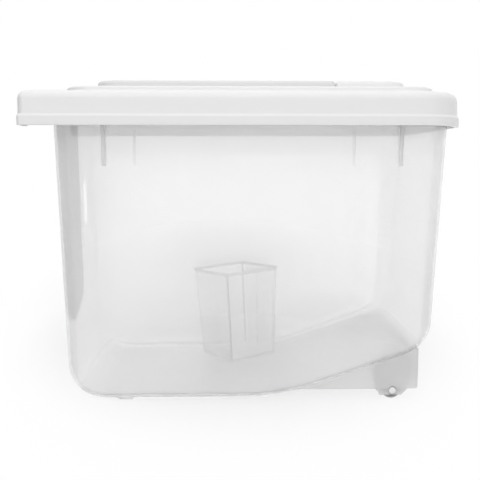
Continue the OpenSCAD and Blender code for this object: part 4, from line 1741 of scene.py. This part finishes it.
    def _world(self) -> None:
        """Makes the background white to look at and a plain even light to be lit by."""
        world = bpy.data.worlds.new("studio_sky")
        bpy.context.scene.world = world
        world.use_nodes = True
        nodes, links = world.node_tree.nodes, world.node_tree.links
        background = nodes["Background"]
        background.inputs["Color"].default_value = (1.0, 1.0, 1.0, 1.0)
        place = nodes.new("ShaderNodeTexCoord")
        squared = nodes.new("ShaderNodeVectorMath")
        squared.operation = "MULTIPLY"
        links.new(place.outputs["Generated"], squared.inputs[0])
        links.new(place.outputs["Generated"], squared.inputs[1])
        sign = nodes.new("ShaderNodeVectorMath")
        sign.operation = "SIGN"
        links.new(place.outputs["Generated"], sign.inputs[0])
        sides = nodes.new("ShaderNodeMapRange")
        sides.data_type = "FLOAT_VECTOR"
        sides.inputs[RANGE_FROM_MIN].default_value = (-1.0, -1.0, -1.0)
        sides.inputs[RANGE_FROM_MAX].default_value = (1.0, 1.0, 1.0)
        sides.inputs[RANGE_TO_MIN].default_value = (self.sky_front, self.sky_left, self.sky_top)
        sides.inputs[RANGE_TO_MAX].default_value = (self.sky_rear, self.sky_right, self.sky_top)
        links.new(sign.outputs["Vector"], sides.inputs[RANGE_VECTOR])
        blend = nodes.new("ShaderNodeVectorMath")
        blend.operation = "DOT_PRODUCT"
        links.new(squared.outputs["Vector"], blend.inputs[0])
        links.new(sides.outputs["Vector"], blend.inputs[1])
        level = nodes.new("ShaderNodeMix")
        level.inputs["B"].default_value = self.sky_white
        links.new(self._seen(nodes, links), level.inputs["Factor"])
        links.new(blend.outputs["Value"], level.inputs["A"])
        links.new(level.outputs["Result"], background.inputs["Strength"])

    def build(self) -> None:
        """Builds the floor, the cards, the background and the lamps, with a plain view transform."""
        self._floor()
        for card in self.cards:
            card.stand()
        self._world()
        for lamp in self.lamps:
            lamp.hang()
        scene = bpy.context.scene
        scene.view_settings.view_transform = "Standard"
        scene.cycles.transparent_max_bounces = self.see_through_steps
        log.info("studio: %d lamps, %d cards", len(self.lamps), len(self.cards))


@dataclass(frozen=True)
class Viewpoint:
    """The camera: square to the bin's left-hand side, looking down a little."""

    place: tuple[float, float, float] = (-0.021, -0.712, 0.2191)
    down: float = 6.19
    right: float = 1.48
    lens_mm: float = 51.8
    sensor_mm: float = 36.0
    nearest: float = 10 * MM

    def set_up(self) -> None:
        """Creates the camera and makes it the scene's own."""
        data = bpy.data.cameras.new("camera")
        data.lens = self.lens_mm
        data.sensor_width = self.sensor_mm
        data.clip_start = self.nearest
        camera = bpy.data.objects.new("camera", data)
        camera.location = self.place
        camera.rotation_euler = (math.radians(90 - self.down), 0.0, math.radians(-self.right))
        bpy.context.scene.collection.objects.link(camera)
        bpy.context.scene.camera = camera


def report(piece: bpy.types.Object) -> None:
    """Reports a finished piece, its faces and whether it is closed."""
    log.info("%s: %d faces, %d open edges", piece.name, len(piece.data.polygons), open_edges(piece))


def main() -> None:
    """Builds every sub-assembly in order, then the studio, and reports each piece."""
    logging.basicConfig(level=logging.INFO, format="%(name)s: %(message)s")
    Viewpoint().set_up()
    sizes = BinSizes.from_frame()
    caster = Caster(sizes)
    container = Container(sizes)
    lid = Lid(sizes)
    pieces = [container.build(caster)]
    for side in Side:
        pieces += caster.build(side)
    pieces += [lid.build(), FlipDoor(sizes, lid).build(), MeasuringCup(sizes, container).build()]
    for piece in pieces:
        report(piece)
    Studio().build()


if __name__ == "__main__":
    main()
